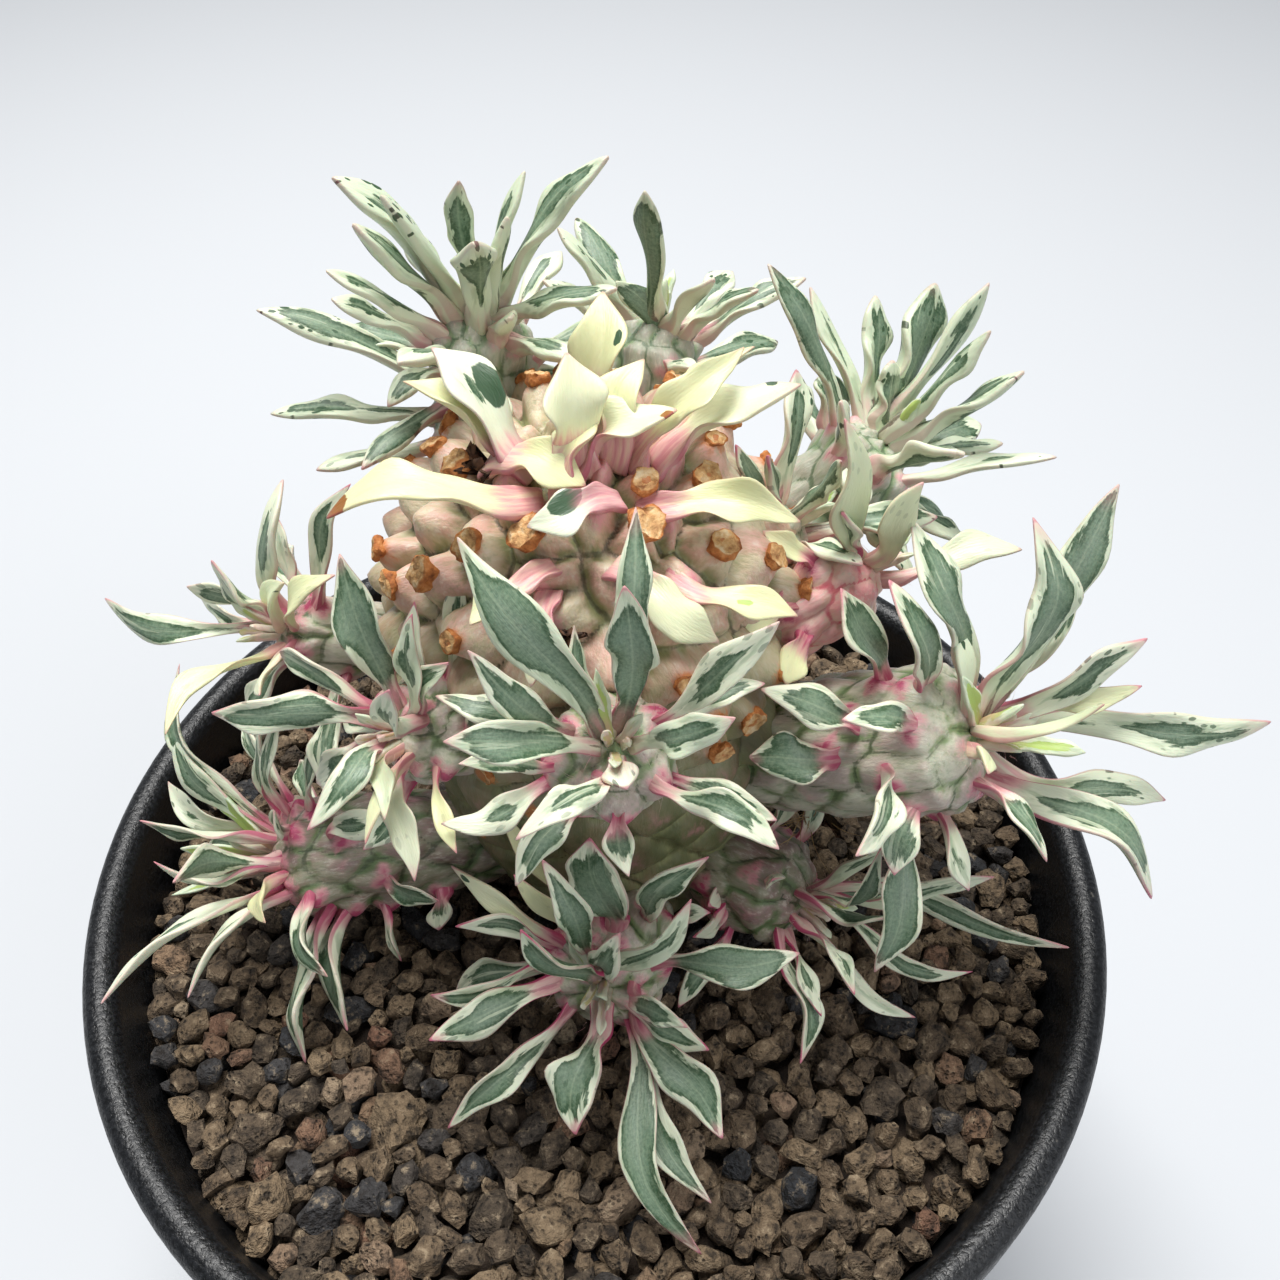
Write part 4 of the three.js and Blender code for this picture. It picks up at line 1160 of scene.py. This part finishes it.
def crown_leaves(head):
    """The small folded leaves of the growing tip"""
    rows = []
    for step in range(CROWN_LEAVES):
        turn = radians(step * GOLDEN_ANGLE + head.draw.uniform(-15, 15))
        direction = head.leaning(turn, radians(5 + 6 * step))
        rows.append(leaf_row("y", 0, direction, 3.4 + 0.8 * step, 1.0 + 0.12 * step, 8))
    return rows


def make_head_leaves(head, rows, blanks, leaf, hair):
    """Makes a head's leaves and hairs, and gives the tubercles that the leaves grow from"""
    draw, axis, fleshy = head.draw, head.axis, head.fleshy
    rosy = ROSINESS.get(head.name, 1.0)
    knobs = []
    bm = bmesh.new()
    hairs = bmesh.new()
    for kind, below, heading, rise, long, wide, bend, *known in rows:
        direction = towards(heading, rise)
        outward = (direction - axis * direction.dot(axis)).normalized()
        radius = head.radius(below)
        sink = YOUNG_SINK if kind == "y" else LEAF_SINK
        base = head.crown - axis * (below + 0.5) + outward * radius * sink
        top_side = leaf_top(direction, axis, HEAD_LIGHT)
        if known:
            base, top_side = Vector(known[:3]), Vector(known[3:]).normalized()
        reach = min(3, radius * (1 - LEAF_SINK) / max(0.2, direction.dot(outward)))
        tip = 0 if kind == "y" else STEM_LEAF_TIP
        buried = reach + tip * 0.6
        ripe = min(1.1, 0.42 + below / 5) * draw.uniform(0.7, 1.05) * (0.5 if fleshy > 1 else 1)
        row = (kind, long, wide, bend)
        add_leaf(bm, blanks["blade"], draw, base, direction, top_side, row, buried, fleshy, rosy, ripe)
        if kind != "y":
            lean = (direction + outward * 0.5).normalized()
            blush = draw.uniform(0.8, 1.3) * min(1, 0.35 + below / 4) * (0.6 if fleshy > 1 else 1)
            foot = base + direction * reach
            knobs.append(Knob(foot, lean, 1.0, tip, blush, reach=STEM_REACH))
            add_hairs(hairs, blanks["hair"], draw, foot + outward * 0.3, outward, HAIRS, 1.3, 1.3)
    bmesh.ops.remove_doubles(bm, verts=bm.verts, dist=MERGE)
    subdivide(add_piece(head.name + "_leaves", bm, leaf, head.name))
    add_piece(head.name + "_hairs", hairs, hair, head.name)
    return knobs


def make_stem(head, knobs, skin):
    """The stem, with a tubercle under each leaf and others where there is room"""
    step = 0
    below = 0.8
    while below < head.length:
        radius = head.radius(below)
        outward = head.outward(radians(step * GOLDEN_ANGLE))
        place = head.crown - head.axis * below + outward * radius
        if all(squeezed(spot.place - place, head.axis, STEM_FLATTEN).length > STEM_APART for spot in knobs):
            tall, blush = head.draw.uniform(0.6, 1.0), head.draw.uniform(0, 0.25)
            knobs.append(Knob(place, outward, tall, 0.15, blush, reach=STEM_REACH))
        below += STEM_CELL / (2 * pi * radius)
        step += 1
    rows = max(60, round(head.length / STEM_ROW))
    rings = []
    for row in range(rows + 1):
        below = head.length * row / rows
        cap = min(1, (below + 0.02) / 1.2)
        radius = head.radius(below) * sqrt(cap * (2 - cap))
        rings.append(Ring(head.crown - head.axis * below, head.side, head.up, radius))
    bm = knobbed(rings, STEM_COLUMNS, knobs, STEM_KNOB, head.axis, STEM_FLATTEN, STEM_CREASE)
    add_piece(head.name + "_stem", bm, skin, head.name)


def make_trunk_leaves(blank, leaf):
    draw = random.Random("trunk")
    middle = Vector((BULB_X, BULB_Y, BULB_MIDDLE))
    bm = bmesh.new()
    for kind, x, y, heading, rise, long, wide, bend, *marks in TRUNK_LEAVES:
        place, _, foot = trunk_leaf_foot(x, y, towards(heading, rise))
        tip = place - Vector((0, 0, TRUNK_LEAF_SINK)) + towards(heading, rise) * (long + TRUNK_LEAF_SINK)
        direction = (tip - foot).normalized()
        top_side = leaf_top(direction, (foot - middle).normalized(), TRUNK_LIGHT)
        row = (kind, (tip - foot).length + BURIED, wide, bend)
        base = foot - direction * BURIED
        add_leaf(bm, blank, draw, base, direction, top_side, row, BURIED + 0.9, marks=marks)
    bmesh.ops.remove_doubles(bm, verts=bm.verts, dist=MERGE)
    subdivide(add_piece("trunk_leaves", bm, leaf, "trunk"))


# Hairs and dry fibres
def hair_blank():
    """A closed three-sided spike, one long and one wide, that stands on the origin"""
    bm = bmesh.new()
    middle = Matrix.Translation((0, 0, 0.5))
    bmesh.ops.create_cone(bm, cap_ends=True, segments=3, radius1=0.5, radius2=0.12, depth=1, matrix=middle)
    long_edges = [edge for edge in bm.edges if abs(edge.verts[0].co.z - edge.verts[1].co.z) > 0.5]
    bmesh.ops.subdivide_edges(bm, edges=long_edges, cuts=2)
    return mesh_from("hair_blank", bm)


def add_hairs(bm, blank, draw, middle, outward, count, around, length, width=HAIR_WIDTH):
    """Fine bent hairs that stand on the skin around a place"""
    for _ in range(count):
        across = random_way(draw)
        across -= outward * across.dot(outward)
        start = middle + across.normalized() * draw.uniform(0.2, around) - outward * 0.4
        lean = (outward + across * 0.8).normalized()
        droop = random_step(draw, 0.5)
        turn = lean.to_track_quat("Z", "Y").to_matrix()
        long = length * draw.uniform(0.5, 1.1)
        for vert in add_copy(bm, blank):
            share = vert.co.z
            spot = Vector((vert.co.x * width, vert.co.y * width, share * long))
            vert.co = start + turn @ spot + droop * (share * share * long)


def make_fibres(blank, finish):
    draw = random.Random(7)
    bm = bmesh.new()
    outward = Vector((0.1, -0.7, 0.3)).normalized()
    for place, count, length in FIBRES:
        add_hairs(bm, blank, draw, Vector(place), outward, count, 2.5, length, FIBRE_WIDTH)
    add_piece("dry_fibres", bm, finish, "trunk")


def make_dried_flowers(finish):
    draw = random.Random(9)
    bm = bmesh.new()
    for heading, height, size in DRIED_FLOWERS:
        place, normal = trunk_surface(heading, height, -0.6)
        for _ in range(FLOWER_PARTS):
            lean = (normal + random_step(draw, 0.9)).normalized()
            long = size * draw.uniform(0.4, 0.9)
            turn = lean.to_track_quat("Z", "Y").to_matrix().to_4x4()
            turn = Matrix.Translation(place + lean * long * 0.4) @ turn
            made = bmesh.ops.create_cone(
                bm, cap_ends=True, segments=6, radius1=0.12 * size, radius2=0.04 * size, depth=long,
                matrix=turn)
            for vert in made["verts"]:
                vert.co += random_step(draw, 0.12) * size
    add_piece("dried_flowers", bm, finish, "trunk")


# The stage
def make_camera():
    data = bpy.data.cameras.new("camera")
    data.lens = CAMERA_LENS
    data.sensor_width = SENSOR
    data.clip_start = 0.005
    camera = put("camera", data)
    camera.location = Vector(CAMERA_PLACE) * MM
    camera.rotation_euler = (radians(90 - CAMERA_DOWN), 0, 0)
    bpy.context.scene.camera = camera


def add_light(name, place, size, power, colour):
    data = bpy.data.lights.new(name, "AREA")
    data.size = size
    data.energy = power
    data.color = colour
    light = put(name, data)
    light.location = place
    light.rotation_euler = (LIT_PLACE - Vector(place)).to_track_quat("-Z", "Y").to_euler()


def make_stage():
    bm = bmesh.new()
    bmesh.ops.create_grid(bm, x_segments=1, y_segments=1, size=3)
    mesh = mesh_from("floor", bm)
    mesh.materials.append(Finish("pale_floor", Roughness=0.8).colour(srgb(208, 211, 215)))
    put("floor", mesh)
    world = bpy.data.worlds.new("studio")
    world.use_nodes = True
    sky = world.node_tree.nodes["Background"].inputs
    sky["Color"].default_value = srgb(226, 232, 240)
    sky["Strength"].default_value = 0.25
    bpy.context.scene.world = world
    for name, light in LIGHTS.items():
        add_light(name, *light)
    bpy.context.scene.view_settings.view_transform = "Standard"


make_camera()
make_stage()
leaf_look = leaf_finish()
hair_look = hair_finish()
skins = {name: skin_finish(name) for name in SKIN_COLOURS}
make_pot(pot_finish())
make_bed(shaded_bed_finish())
make_grains(grain_finish())
make_trunk(skins["trunk_skin"], scar_finish())
shapes = {"blade": blade_blank(), "hair": hair_blank()}
make_trunk_leaves(shapes["blade"], leaf_look)
for head_name, (crown, root, thick, fill, table) in HEADS.items():
    head = Head(head_name, crown, root, thick)
    leaves = leaf_rows(table)
    leaves += fill_leaves(head, leaves, fill)
    leaves += crown_leaves(head)
    tubercles = make_head_leaves(head, leaves, shapes, leaf_look, hair_look)
    make_stem(head, tubercles, skins[SKINS.get(head_name, "stem_skin")])
make_fibres(shapes["hair"], fibre_finish())
make_dried_flowers(dry_finish())
